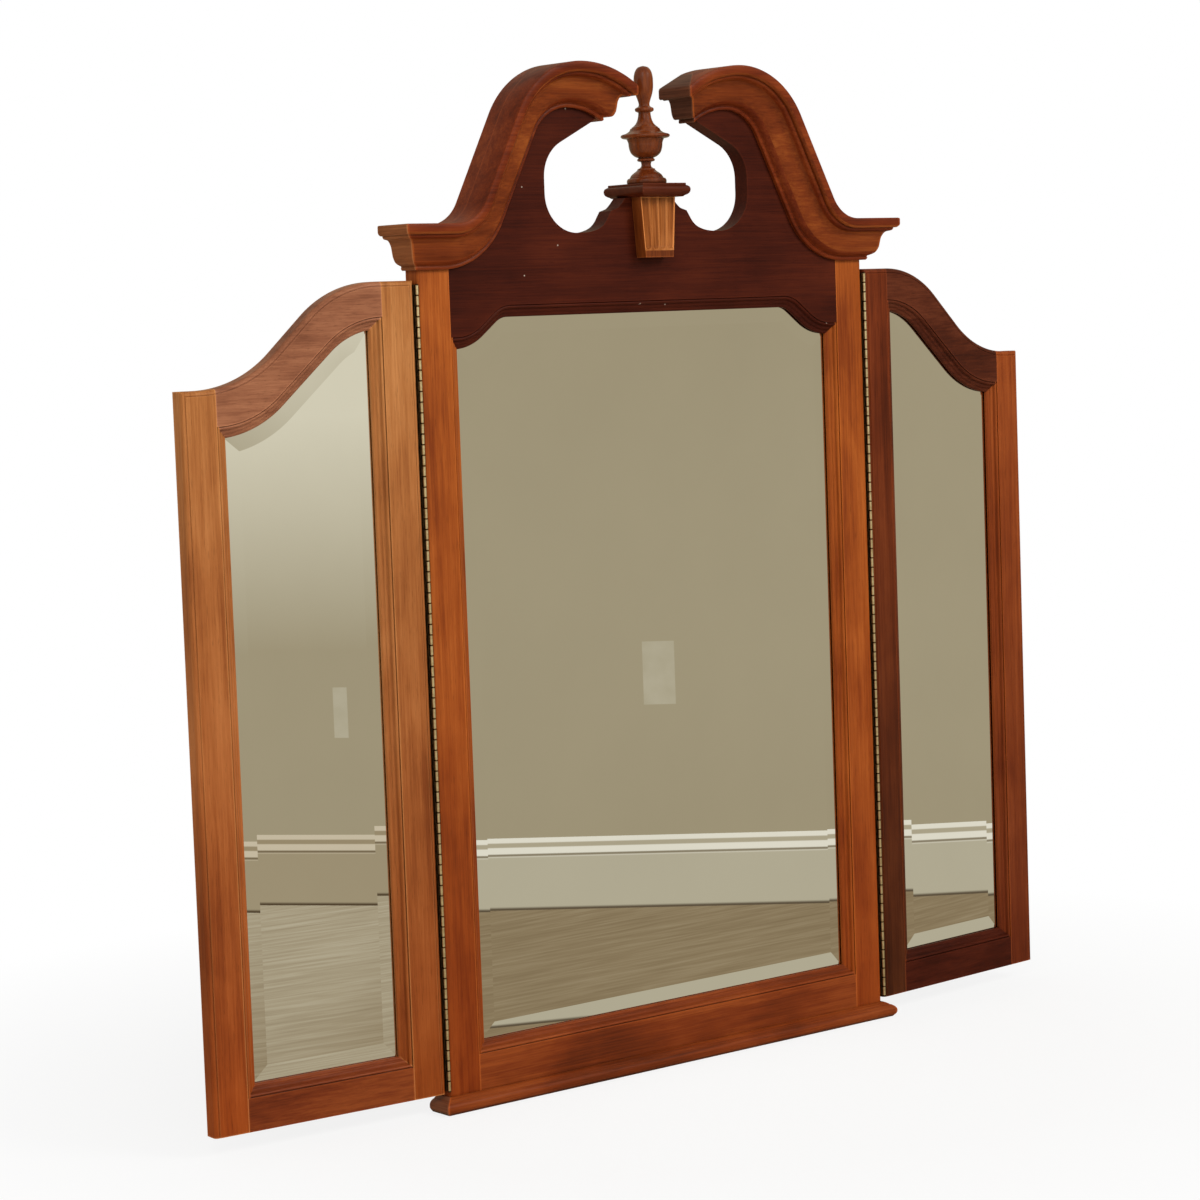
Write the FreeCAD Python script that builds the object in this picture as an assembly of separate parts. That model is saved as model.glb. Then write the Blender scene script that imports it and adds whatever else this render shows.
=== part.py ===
"""Trifold vanity mirror: a centre mirror under a swan-neck pediment, with a hinged wing mirror on each side.

Units are millimetres. +Z is up, +X is the viewer's right and -Y is the front. The origin is the middle of the
centre frame's bottom edge, halfway through its thickness, on the surface that the mirror stands on.
"""
import FreeCAD, Part
import os
from math import acos, atan2, cos, degrees, pi, radians, sin, sqrt

V = FreeCAD.Vector
os.makedirs("parts", exist_ok=True)

# ---------------------------------------------------------------- driving dimensions
# Centre frame
centre_width = 724.0          # outside of one stile to outside of the other
centre_thickness = 24.0
centre_stile_width = 46.0     # face of a stile, from its outer edge to the sight moulding
crown_run_z = 1077.0          # top of the stiles and of the crown's level run
sill_z = 65.0                 # where the bottom rails' faces meet their sight moulding
centre_head_drop = 98.5       # from the crown's level run to the flat middle of the board's lower edge
centre_corner_drop = 37.0     # from there to the board's lower edge beside the stiles
centre_corner_flat = 10.0     # level stretch beside each stile
centre_head_run = 82.0        # across each S curve between the two levels
centre_head_slack = 0.0856    # slack and balance of an S curve are told at s_curve
centre_head_balance = 0.42
stile_round = 4.0             # rounded front arris of every outer edge

# Sight moulding, worked on every rail and stile round its glass
sight_width = 14.5
sight_depth = 12.0            # from the face down to the glass
rebate_width = 7.0            # how far the moulding's lip covers the glass
tenon_length = 26.0
tenon_thickness = 8.0
tenon_inset = 8.0             # shoulder left at a rail's edges
tenon_play = 0.1

# Glass and backs
glass_thickness = 5.0
glass_play = 1.0              # room round the glass in its rebate
bevel_width = 25.0
bevel_edge = 2.2              # glass left at the bevel's thin edge
back_thickness = 3.0
back_overlap = 10.0           # backboard past the rebate, on the frame's back
strip_width = 5.5             # retaining strips between glass and backboard

# Screws that hold the backboards
back_screw_length = 12.0
back_screw_head_radius = 3.2
back_screw_head_height = 2.0
back_screw_radius = 1.5
back_screw_rows = 2           # along each stile
back_screw_margin = 50.0      # from the opening's corners

# Pediment board and its two cut-outs
lobe_inset = 12.0             # from the arch's middle to the cut-out's round part, towards the finial
lobe_radius = 48.5
lobe_rise = 10.0              # of the upper round's centre over the neck arc's centre
lobe_length = 19.0            # between the centres of the upper and the lower round
lobe_slope = 0.5              # rise of the cut-out's straight upper edge
nose_radius = 14.0            # rounded nose where the board meets the crown's inner end
flank_angle = 130.0           # where the round part runs out into the cusp's flank, degrees below level
cusp_shoulder_x = 65.0
cusp_shoulder_drop = 17.0     # below the cusp's top
cusp_ledge = 6.0              # width of the small ledge on the cusp's flank
cusp_ledge_rise = 3.5
cusp_hollow = 2.5             # depth of the hollow between ledge and cap plate
cusp_rise = 30.0              # of the cusp's top over the crown's level run
cusp_top_half = 38.0

# Swan-neck crown moulding
crown_height = 54.0           # across the moulding
crown_projection = 38.0
crown_peak_x = 129.0
crown_rise = 195.0            # of the arch over the level run
crown_neck_radius = 150.0     # inward of the peak
crown_level_run = 36.0        # from the S curve's foot to the frame's side
crown_slack = 0.1879
crown_balance = 0.7
crown_end_x = 42.0            # foremost tip of the neck beside the finial
mitre_waste = 12.5            # length of moulding that is cut off past a mitre

# Keystone, cap plate and finial
keystone_top_width = 56.0
keystone_bottom_width = 45.0
keystone_height = 75.0
keystone_thickness = 18.0
keystone_foot = 8.5           # plain block under the flutes
flute_count = 4
flute_radius = 4.6
flute_depth = 2.6
plate_width = 78.0
plate_thickness = 17.0
finial_radius = 31.0          # at the brim
finial_height = 147.5
finial_dowel_radius = 5.0
finial_dowel_length = 30.0
dowel_play = 0.1

# Base moulding
base_height = 20.0
base_projection = 15.0

# Wings
wing_width = 316.0
wing_thickness = 20.0
wing_stile_width = 45.0
wing_foot_clearance = 5.0     # over the base moulding
wing_top_clearance = 12.0     # under the crown
wing_fall = 119.0             # from the hinge stile's top to the outer stile's
wing_high_flat = 50.0         # level top beside the hinge
wing_low_flat = 24.0          # level top at the outer edge
wing_top_slack = 0.051
wing_top_balance = 0.4828
wing_head_width = 41.5        # face of the top rail at the hinge stile
wing_shoulder_width = 42.0    # face of the top rail at the outer stile
wing_sight_slack = 0.1224
wing_sight_balance = 0.4792
wing_ease = 3.0               # flat taken off the front arris along top and sides
left_rest_angle = 4.0         # degrees behind flat, as it stands
right_rest_angle = 4.7

# Continuous hinges
hinge_gap = 6.0               # between the edges of centre and wing
hinge_forward = 2.4           # pin axis in front of the faces
hinge_foot_inset = 3.0        # from the wing's bottom
hinge_head_inset = 5.0        # least distance from the wing's top
knuckle_pitch = 12.7
knuckle_play = 0.25
knuckle_radius = 3.15         # from the pin's middle to a knuckle's free corners
pin_radius = 1.15
pin_play = 0.05
pin_head_radius = 1.8
pin_head_height = 0.8
leaf_thickness = 1.2
leaf_width = 13.0
leaf_clearance = 0.265        # between a leaf's edge and the other leaf's knuckles
hinge_screw_count = 4
hinge_screw_length = 16.0
hinge_screw_head_radius = 3.0
hinge_screw_head_height = 1.8
hinge_screw_radius = 1.4
sink_play = 0.1               # room round a screw head in its countersink

# Threaded inserts for the support posts
insert_inset = 21.0           # from the frame's side
insert_low_z = 110.0
insert_spacing_z = 300.0
insert_bore_radius = 3.0
insert_radius = 5.0
insert_length = 14.0

# Sides of the faceted pieces
screw_sides = 6
pin_head_sides = 12
insert_sides = 8
dowel_sides = 8
flute_sides = 8
finial_sides = 16
knuckle_angles = (-55.0, -175.0, 125.0)   # of a knuckle's free corners round the pin, in degrees
bore_angles = (-55.0, -175.0, 65.0)       # of the corners of its three-sided bore
head_crown_share = 0.55       # a pan head's flat top, of its full radius
flute_tip_share = 0.35        # a flute's blunt lower tip, of its full radius

# ---------------------------------------------------------------- profiles
# Each is a list of points in shares of the piece's own two sizes. A pair of points is an arc: middle, end.
# Across the moulding from the face line inwards, and down from the face to the glass.
sight_profile = [(0.0, 0.13), (0.14, 0.06), (0.35, 0.37), (0.72, 0.55), (1.0, 0.75), (1.0, 1.0)]
# Down from the top arris, and out from the board's face: fillet, bead, cove, slope, ovolo and fillet.
crown_profile = [
    (0.0, 0.0), (0.0, 1.0), (0.19, 1.0), (0.24, 0.82), (0.35, 0.60), (0.52, 0.50), (0.81, 0.39),
    (0.90, 0.14), (1.0, 0.14), (1.0, 0.0),
]
# Down from the top, and out from the face: ogee over a round nose.
base_profile = [
    (0.0, 0.0), (0.0, 0.13), ((0.085, 0.36), (0.20, 0.57)), (0.23, 0.69), ((0.575, 1.0), (0.92, 0.77)),
    (1.0, 0.67), (1.0, 0.0),
]
# In shares of half the plate's width, and of its thickness, from the bottom up.
plate_profile = [
    (0.0, 0.0), (0.82, 0.0), (0.86, 0.09), ((0.98, 0.30), (1.0, 0.52)), ((0.98, 0.72), (0.92, 0.84)),
    (0.89, 0.84), (0.89, 1.0), (0.0, 1.0),
]
# Turned, in shares of the brim's radius and the height: foot, neck, bowl, brim, cone, collar and egg.
finial_profile = [
    (0.78, 0.0), (0.76, 0.040), (0.66, 0.062), (0.38, 0.120), (0.20, 0.150), (0.22, 0.190), (0.36, 0.207),
    (0.32, 0.224), (0.60, 0.268), (0.684, 0.319), (0.77, 0.386), (1.0, 0.405), (0.58, 0.470), (0.36, 0.515),
    (0.25, 0.601), (0.38, 0.635), (0.22, 0.672), (0.32, 0.765), (0.394, 0.860), (0.30, 0.955), (0.10, 1.0),
]

# ---------------------------------------------------------------- derived places
FRONT = -centre_thickness / 2
BACK = centre_thickness / 2
GLASS_FRONT = FRONT + sight_depth
GLASS_BACK = GLASS_FRONT + glass_thickness
WING_BACK = FRONT + wing_thickness
SIDE = centre_width / 2
SIGHT_X = SIDE - centre_stile_width
CORNER_X = SIGHT_X - centre_corner_flat
HEAD_HALF = CORNER_X - centre_head_run
HEAD_Z = crown_run_z - centre_head_drop
CORNER_Z = HEAD_Z - centre_corner_drop
GLASS_EDGE = sight_width - rebate_width + glass_play
INSERT_X = SIDE - insert_inset
PEAK_Z = crown_run_z + crown_rise
NECK_Z = PEAK_Z - crown_neck_radius
NECK_X = crown_end_x + crown_projection
FOOT_X = SIDE - crown_level_run
LOBE_X = crown_peak_x - lobe_inset
LOBE_HIGH_Z = NECK_Z + lobe_rise
LOBE_LOW_Z = LOBE_HIGH_Z - lobe_length
CUSP_TOP_Z = crown_run_z + cusp_rise
KEYSTONE_FRONT = FRONT - keystone_thickness
FINIAL_Y = (KEYSTONE_FRONT + BACK) / 2
PLATE_TOP_Z = CUSP_TOP_Z + plate_thickness
WING_BOTTOM_Z = base_height + wing_foot_clearance
WING_HIGH_Z = crown_run_z - crown_height - wing_top_clearance
WING_LOW_Z = WING_HIGH_Z - wing_fall
WING_HEAD_Z = WING_HIGH_Z - wing_head_width
WING_SHOULDER_Z = WING_LOW_Z - wing_shoulder_width
HINGE_X = SIDE + hinge_gap / 2
HINGE_Y = FRONT - hinge_forward
HINGE_BOTTOM_Z = WING_BOTTOM_Z + hinge_foot_inset
HINGE_ROOM = WING_HIGH_Z - hinge_head_inset - HINGE_BOTTOM_Z
KNUCKLES = 2 * int((HINGE_ROOM / knuckle_pitch - 1) / 2) + 1   # odd, so that the centre leaf has both ends
HINGE_TOP_Z = HINGE_BOTTOM_Z + knuckle_pitch * KNUCKLES
LEAF_INSIDE = hinge_gap / 2 - leaf_thickness                   # across, from the pin to a leaf's free face
LEAF_EDGE = sqrt(knuckle_radius**2 - LEAF_INSIDE**2) + leaf_clearance
LEAF_Y = HINGE_Y + LEAF_EDGE
WING_INNER = HINGE_X + hinge_gap / 2
WING_OUTER = WING_INNER + wing_width
WING_SIGHT_IN = WING_INNER + wing_stile_width
WING_SIGHT_OUT = WING_OUTER - wing_stile_width
MITRE_REACH = 3 * sight_width  # longer than a mitre across the sight moulding
DEEP = 4 * centre_thickness   # longer than any cut through the frame
FAR = 4 * centre_width        # past everything
OVERCUT = 1.0                 # past a face, so that a cut goes right through
NEAR = 1e-4                   # how closely a found face has to lie where it is looked for
TINY = 1e-6


# ---------------------------------------------------------------- plane geometry in X and Z
def line(start, end):
    return ("line", start, end)


def arc(centre, radius, start_angle, end_angle):
    """Angles in radians from +X towards +Z."""
    return ("arc", centre, radius, start_angle, end_angle)


def on_circle(centre, radius, angle):
    return (centre[0] + radius * cos(angle), centre[1] + radius * sin(angle))


def ends(segment):
    if segment[0] == "line":
        return segment[1], segment[2]
    _, centre, radius, start, end = segment
    return on_circle(centre, radius, start), on_circle(centre, radius, end)


def apart(a, b):
    return sqrt((a[0] - b[0]) ** 2 + (a[1] - b[1]) ** 2)


def heading(segment, end):
    """Unit direction of travel at the segment's start (end 0) or finish (end 1)."""
    if segment[0] == "line":
        (x0, z0), (x1, z1) = ends(segment)
        length = apart((x0, z0), (x1, z1))
        return ((x1 - x0) / length, (z1 - z0) / length)
    angle = segment[3 + end]
    turn = 1 if segment[4] > segment[3] else -1
    return (-turn * sin(angle), turn * cos(angle))


def s_curve(high_end, low_end, slack, balance):
    """Level, down over a round shoulder, straight, and out of a hollow to level again.

    It runs from high_end to low_end, which lies lower and at greater X. Without slack the two bends would meet
    and fill the whole curve, and slack is the share that their radii fall short of that. balance is the
    shoulder's share of both radii."""
    run, drop = low_end[0] - high_end[0], high_end[1] - low_end[1]
    both_radii = (1 - slack) * (run**2 + drop**2) / (2 * drop)
    high_radius = balance * both_radii
    low_radius = both_radii - high_radius
    high = (high_end[0], high_end[1] - high_radius)
    low = (low_end[0], low_end[1] + low_radius)
    steep = acos((high_radius + low_radius) / apart(high, low))
    angle = atan2(low[1] - high[1], low[0] - high[0]) + steep
    return [
        arc(high, high_radius, pi / 2, angle),
        line(on_circle(high, high_radius, angle), on_circle(low, low_radius, angle + pi)),
        arc(low, low_radius, angle + pi, 3 * pi / 2),
    ]


def arc_through(start, middle, end):
    """The arc from start to end by way of middle."""
    (ax, az), (bx, bz), (cx, cz) = start, middle, end
    d = 2 * (ax * (bz - cz) + bx * (cz - az) + cx * (az - bz))
    a, b, c = ax**2 + az**2, bx**2 + bz**2, cx**2 + cz**2
    centre = ((a * (bz - cz) + b * (cz - az) + c * (az - bz)) / d,
              (a * (cx - bx) + b * (ax - cx) + c * (bx - ax)) / d)
    first = atan2(az - centre[1], ax - centre[0])
    last = atan2(cz - centre[1], cx - centre[0])
    turn = -1 if d < 0 else 1
    while (last - first) * turn < 0:
        last += turn * 2 * pi
    return arc(centre, apart(start, centre), first, last)


def grow(segments, offset):
    """The same path moved sideways: to the left of its direction where offset is positive."""
    moved = []
    for segment in segments:
        if segment[0] == "line":
            (x0, z0), (x1, z1) = ends(segment)
            dx, dz = heading(segment, 0)
            moved.append(line((x0 - dz * offset, z0 + dx * offset), (x1 - dz * offset, z1 + dx * offset)))
        else:
            _, centre, radius, start, end = segment
            turn = 1 if end > start else -1
            moved.append(arc(centre, radius - turn * offset, start, end))
    return moved


def mirrored(segments):
    """The path's mirror image in X, run the other way."""
    flipped = []
    for segment in reversed(segments):
        if segment[0] == "line":
            (x0, z0), (x1, z1) = ends(segment)
            flipped.append(line((-x1, z1), (-x0, z0)))
        else:
            _, (cx, cz), radius, start, end = segment
            flipped.append(arc((-cx, cz), radius, pi - end, pi - start))
    return flipped


def backwards(segments):
    """The same path run the other way."""
    turned = []
    for segment in reversed(segments):
        if segment[0] == "line":
            turned.append(line(segment[2], segment[1]))
        else:
            turned.append(arc(segment[1], segment[2], segment[4], segment[3]))
    return turned


def joined(segments):
    """Join each segment to the next with a straight line where they don't meet."""
    path = segments[:1]
    for following in segments[1:]:
        stop, go = ends(path[-1])[1], ends(following)[0]
        if apart(stop, go) > TINY:
            path.append(line(stop, go))
        path.append(following)
    return path


def closed(segments):
    """The joined path, brought back to its start."""
    return joined(segments + segments[:1])[:-1]


# ---------------------------------------------------------------- solids
def wire(segments, y):
    edges = []
    for segment in segments:
        start, end = ends(segment)
        if segment[0] == "line":
            edges.append(Part.makeLine(V(start[0], y, start[1]), V(end[0], y, end[1])))
        else:
            _, centre, radius, a0, a1 = segment
            middle = on_circle(centre, radius, (a0 + a1) / 2)
            edges.append(Part.Arc(*[V(x, y, z) for x, z in (start, middle, end)]).toShape())
    return Part.Wire(edges)


def slab(segments, y_front, y_back):
    """A board of the closed outline, between two depths."""
    return Part.Face(wire(segments, y_front)).extrude(V(0, y_back - y_front, 0))


def box(x0, x1, y0, y1, z0, z1):
    return Part.makeBox(x1 - x0, y1 - y0, z1 - z0, V(x0, y0, z0))


def flip(shape):
    """Mirror image in X."""
    return shape.mirror(V(0, 0, 0), V(1, 0, 0))


def tidy(shape):
    """The shape as the one sound solid that it has to be."""
    shape = shape.removeSplitter()
    if len(shape.Solids) != 1 or not shape.isValid():
        raise ValueError("a piece came out as %d solids" % len(shape.Solids))
    return shape.Solids[0]


def section_face(section, place):
    """A face from a closed section, where place turns each of its points into a place in the room."""
    edges, here = [], place(section[0])
    for entry in section[1:] + section[:1]:
        if isinstance(entry[0], tuple):
            edges.append(Part.Arc(here, place(entry[0]), place(entry[1])).toShape())
            here = place(entry[1])
        else:
            edges.append(Part.makeLine(here, place(entry)))
            here = place(entry)
    return Part.Face(Part.Wire(edges))


def scaled(profile, first, second):
    """A profile's shares as sizes."""
    sizes = []
    for entry in profile:
        if isinstance(entry[0], tuple):
            sizes.append(tuple((p[0] * first, p[1] * second) for p in entry))
        else:
            sizes.append((entry[0] * first, entry[1] * second))
    return sizes


def shifted(section, first, second, sign):
    """A section moved along both of its directions, the second one also turned round by sign."""
    moved = []
    for entry in section:
        if isinstance(entry[0], tuple):
            moved.append(tuple((p[0] + first, second + sign * p[1]) for p in entry))
        else:
            moved.append((entry[0] + first, second + sign * entry[1]))
    return moved


# ---------------------------------------------------------------- mouldings
def run_moulding(path, section):
    """A moulding run along the path. The section stands square to it, its first size to the path's right
    and its second along Y."""
    pieces = []
    for segment in path:
        start, end = ends(segment)
        dx, dz = heading(segment, 0)
        face = section_face(section, lambda p: V(start[0] + dz * p[0], p[1], start[1] - dx * p[0]))
        if segment[0] == "line":
            pieces.append(face.extrude(V(end[0] - start[0], 0, end[1] - start[1])))
        else:
            _, centre, _, a0, a1 = segment
            turn = 1 if a1 > a0 else -1
            pieces.append(face.revolve(V(centre[0], 0, centre[1]), V(0, -turn, 0), degrees(abs(a1 - a0))))
    return tidy(pieces[0].multiFuse(pieces[1:])) if len(pieces) > 1 else tidy(pieces[0])


def sight_section(back):
    """The sight moulding from its face line inwards, with the glass rebate behind its lip."""
    lip = sight_width - rebate_width
    moulded = shifted(scaled(sight_profile, sight_width, sight_depth), 0, FRONT, 1)
    return moulded + [(lip, GLASS_FRONT), (lip, back), (0, back)]


def mitre_wedge(corner, inward, ahead):
    """What a 45 degree mitre takes off a moulding's end. ahead points into the member."""
    a = (corner[0] + inward[0] * MITRE_REACH, corner[1] + inward[1] * MITRE_REACH)
    b = (a[0] + ahead[0] * MITRE_REACH, a[1] + ahead[1] * MITRE_REACH)
    return slab([line(corner, a), line(a, b), line(b, corner)], -DEEP, DEEP)


def sight_strip(path, back):
    """The moulding along one side of an opening, mitred at both ends. The glass is on the path's right."""
    strip = run_moulding(path, sight_section(back))
    for end, segment, sign in ((0, path[0], 1), (1, path[-1], -1)):
        dx, dz = heading(segment, end)
        strip = strip.cut(mitre_wedge(ends(segment)[end], (dz, -dx), (sign * dx, sign * dz)))
    return tidy(strip)


def tenon(shoulder_x, direction, span, back, play=0.0):
    """Tenon standing out of a rail's end at shoulder_x, or its mortise where play is given."""
    middle = (FRONT + back) / 2
    half = tenon_thickness / 2 + play
    x_far = shoulder_x + direction * (tenon_length + play)
    low, high = min(shoulder_x, x_far), max(shoulder_x, x_far)
    return box(low, high, middle - half, middle + half, span[0] - play, span[1] + play)


# ---------------------------------------------------------------- openings, shared by frames, glass and backs
def centre_opening():
    """The centre opening's face line in four sides, clockwise from the bottom left corner."""
    shaped = s_curve((HEAD_HALF, HEAD_Z), (CORNER_X, CORNER_Z), centre_head_slack, centre_head_balance)
    head = [line((-SIGHT_X, CORNER_Z), (-CORNER_X, CORNER_Z))]
    head += mirrored(shaped)
    head += [line((-HEAD_HALF, HEAD_Z), (HEAD_HALF, HEAD_Z))]
    head += shaped
    head += [line((CORNER_X, CORNER_Z), (SIGHT_X, CORNER_Z))]
    left = [line((-SIGHT_X, sill_z), (-SIGHT_X, CORNER_Z))]
    right = [line((SIGHT_X, CORNER_Z), (SIGHT_X, sill_z))]
    sill = [line((SIGHT_X, sill_z), (-SIGHT_X, sill_z))]
    return left, head, right, sill


def wing_opening():
    """The right wing's opening in four sides, clockwise from the bottom of the hinge stile."""
    high, low = (WING_SIGHT_IN, WING_HEAD_Z), (WING_SIGHT_OUT, WING_SHOULDER_Z)
    head = s_curve(high, low, wing_sight_slack, wing_sight_balance)
    left = [line((WING_SIGHT_IN, sill_z), high)]
    right = [line(low, (WING_SIGHT_OUT, sill_z))]
    sill = [line((WING_SIGHT_OUT, sill_z), (WING_SIGHT_IN, sill_z))]
    return left, head, right, sill


def inset(opening, offset):
    """The opening moved inwards by offset, in four sides that are trimmed square at the corners."""
    left, head, right, sill = opening
    x0, x1 = left[0][1][0] + offset, right[0][1][0] - offset
    z0 = sill[0][1][1] + offset
    top = grow(head, -offset)
    first, last = top[0], top[-1]
    if first[0] == "line":
        top[0] = line((x0, first[1][1]), first[2])
        top[-1] = line(last[1], (x1, last[2][1]))
    else:
        top[0] = arc(first[1], first[2], acos((x0 - first[1][0]) / first[2]), first[4])
        top[-1] = arc(last[1], last[2], last[3], 2 * pi - acos((x1 - last[1][0]) / last[2]))
    z_left, z_right = ends(top[0])[0][1], ends(top[-1])[1][1]
    return [line((x0, z0), (x0, z_left))], top, [line((x1, z_right), (x1, z0))], [line((x1, z0), (x0, z0))]


def ring_of(sides):
    left, head, right, sill = sides
    return left + head + right + sill


def glass_pane(opening):
    """A pane whose bevel is ground along all four sides."""
    sides = inset(opening, GLASS_EDGE)
    pane = slab(ring_of(sides), GLASS_FRONT, GLASS_BACK)
    fall = glass_thickness - bevel_edge
    over = glass_play
    steep = fall / bevel_width
    wedge = [(-over, GLASS_FRONT - over), (bevel_width, GLASS_FRONT - over), (bevel_width, GLASS_FRONT),
             (-over, GLASS_FRONT + fall + over * steep)]
    for side in sides:
        pane = pane.cut(run_moulding(side, wedge))
    return tidy(pane)


def backboard(opening, back):
    reach = sight_width - rebate_width - back_overlap
    return tidy(slab(ring_of(inset(opening, reach)), back, back + back_thickness))


def retaining_strips(opening, back):
    """Four strips that fill the rebate behind the glass, butted at the corners."""
    inner_edge = GLASS_EDGE + strip_width
    outside = slab(ring_of(inset(opening, GLASS_EDGE)), GLASS_BACK, back)
    ring = outside.cut(slab(ring_of(inset(opening, inner_edge)), -DEEP, DEEP))
    left, _, right, sill = inset(opening, inner_edge)
    x0, x1, z0 = left[0][1][0], right[0][1][0], sill[0][1][1]
    regions = [
        (x0 - inner_edge, x0, 0, crown_run_z), (x1, x1 + inner_edge, 0, crown_run_z),
        (x0, x1, 0, z0), (x0, x1, z0, crown_run_z),
    ]
    return Part.makeCompound([tidy(ring.common(box(a, b, -DEEP, DEEP, c, d))) for a, b, c, d in regions])


# ---------------------------------------------------------------- screws
def polygon(centre, radius, sides, axis):
    """Corners of a regular polygon round centre, square to the X, Y or Z axis."""
    corners = []
    for i in range(sides):
        a, b = radius * cos(2 * pi * i / sides), radius * sin(2 * pi * i / sides)
        corners.append(centre + {"x": V(0, a, b), "y": V(a, 0, b), "z": V(a, b, 0)}[axis])
    return corners


def flat_face(corners):
    return Part.Face(Part.makePolygon(corners + corners[:1]))


def tapered(base, direction, axis, sides, stations):
    """A flat-sided bar through polygons of the given (distance, radius) along direction."""
    rings = [polygon(base + direction * d, r, sides, axis) for d, r in stations]
    faces = [flat_face(rings[0]), flat_face(rings[-1])]
    for near, far in zip(rings, rings[1:]):
        for i in range(sides):
            j = (i + 1) % sides
            faces.append(flat_face([near[i], near[j], far[j], far[i]]))
    bar = Part.Solid(Part.Shell(faces))
    if bar.Volume < 0:
        bar.reverse()
    return bar


def countersunk_screw(place, direction, axis, play=0.0):
    """A hinge screw, its head flush at place. With play it is the countersink that it needs."""
    shank = hinge_screw_radius + play
    return tapered(place, direction, axis, screw_sides, [
        (0, hinge_screw_head_radius + play), (hinge_screw_head_height, shank), (hinge_screw_length, shank)])


def pan_screw(place, direction, axis):
    """A backboard screw, its pan head standing on the surface at place."""
    head = tapered(place, -direction, axis, screw_sides, [
        (0, back_screw_head_radius), (back_screw_head_height, back_screw_head_radius * head_crown_share)])
    shank = tapered(place, direction, axis, screw_sides, [
        (0, back_screw_radius), (back_screw_length, back_screw_radius)])
    return tidy(head.fuse(shank))


def back_screws(opening, back):
    """Screws along the backboard's two long edges and its bottom edge, midway over the wood it covers."""
    left, _, right, sill = inset(opening, sight_width - rebate_width - back_overlap / 2)
    (x0, z0), (_, z_left) = ends(left[0])
    (x1, z_right), _ = ends(right[0])
    places = []
    for i in range(back_screw_rows):
        share = i / (back_screw_rows - 1)
        low = z0 + back_screw_margin
        places.append((x0, low + (z_left - back_screw_margin - low) * share))
        places.append((x1, low + (z_right - back_screw_margin - low) * share))
    places.append(((x0 + x1) / 2, z0))
    face = back + back_thickness
    return Part.makeCompound([pan_screw(V(x, face, z), V(0, -1, 0), "y") for x, z in places])


# ---------------------------------------------------------------- centre frame
BOTTOM_TENON = (base_height, sill_z - tenon_inset)
BOARD_TENON = (CORNER_Z + tenon_inset, crown_run_z - crown_height)


def insert_places():
    return [insert_low_z, insert_low_z + insert_spacing_z]


def insert_blank(x, z):
    """The outside of one threaded insert, and of the pocket that it is driven into."""
    stations = [(0, insert_radius), (insert_length, insert_radius)]
    return tapered(V(x, BACK, z), V(0, -1, 0), "y", insert_sides, stations)


def stile():
    """The right centre stile with its sight moulding, mortises and pockets for two threaded inserts."""
    body = box(SIGHT_X, SIDE, FRONT, BACK, 0, crown_run_z)
    arris = [e for e in body.Edges
             if abs(e.CenterOfMass.x - SIDE) < TINY and abs(e.CenterOfMass.y - FRONT) < TINY]
    body = body.makeFillet(stile_round, arris)
    _, _, right, _ = centre_opening()
    body = body.fuse(sight_strip(right, BACK))
    for span in (BOTTOM_TENON, BOARD_TENON):
        body = body.cut(tenon(SIGHT_X, 1, span, BACK, tenon_play))
    for z in insert_places():
        body = body.cut(insert_blank(INSERT_X, z))
    return tidy(body)


def bottom_rail():
    body = box(-SIGHT_X, SIGHT_X, FRONT, BACK, 0, sill_z)
    body = body.fuse(sight_strip(centre_opening()[3], BACK))
    for direction in (-1, 1):
        body = body.fuse(tenon(direction * SIGHT_X, direction, BOTTOM_TENON, BACK))
    return tidy(body)


def support_inserts():
    """Brass inserts that take the support posts' bolts, two in the back of each stile."""
    pieces = []
    for x in (-INSERT_X, INSERT_X):
        for z in insert_places():
            bore = Part.makeCylinder(insert_bore_radius, insert_length, V(x, BACK, z), V(0, -1, 0))
            pieces.append(tidy(insert_blank(x, z).cut(bore)))
    return Part.makeCompound(pieces)


# ---------------------------------------------------------------- pediment
def crown_top_path(inner_x, outer_x):
    """The right crown's top arris, from inner_x on the neck over the peak and out to outer_x."""
    shaped = s_curve((crown_peak_x, PEAK_Z), (FOOT_X, crown_run_z), crown_slack, crown_balance)
    start = acos((inner_x - crown_peak_x) / crown_neck_radius)
    neck = arc((crown_peak_x, NECK_Z), crown_neck_radius, start, pi / 2)
    return [neck] + shaped + [line((FOOT_X, crown_run_z), (outer_x, crown_run_z))]


def mitre_side(x_at_face, lean, side):
    """Everything to one side (+1 is the right) of an upright 45 degree plane that leaves the face at
    x_at_face and runs forwards to the right (lean +1) or to the left (lean -1)."""
    a = V(x_at_face + lean * FAR, FRONT - FAR, 0)
    b = V(x_at_face - lean * FAR, FRONT + FAR, 0)
    c = V(x_at_face + side * 2 * FAR, FRONT, 0)
    return Part.Face(Part.makePolygon([a, b, c, a])).extrude(V(0, 0, FAR))


def mitre_face(moulding, x_at_face, lean):
    """The face that a mitre has left on a moulding."""
    normal = V(sqrt(0.5), lean * sqrt(0.5), 0)
    at = V(x_at_face, FRONT, 0)
    for face in moulding.Faces:
        flat = abs((face.CenterOfMass - at).dot(normal)) < NEAR
        if flat and abs(abs(face.normalAt(0, 0).dot(normal)) - 1) < TINY:
            return face
    raise ValueError("the moulding has no mitre")


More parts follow.
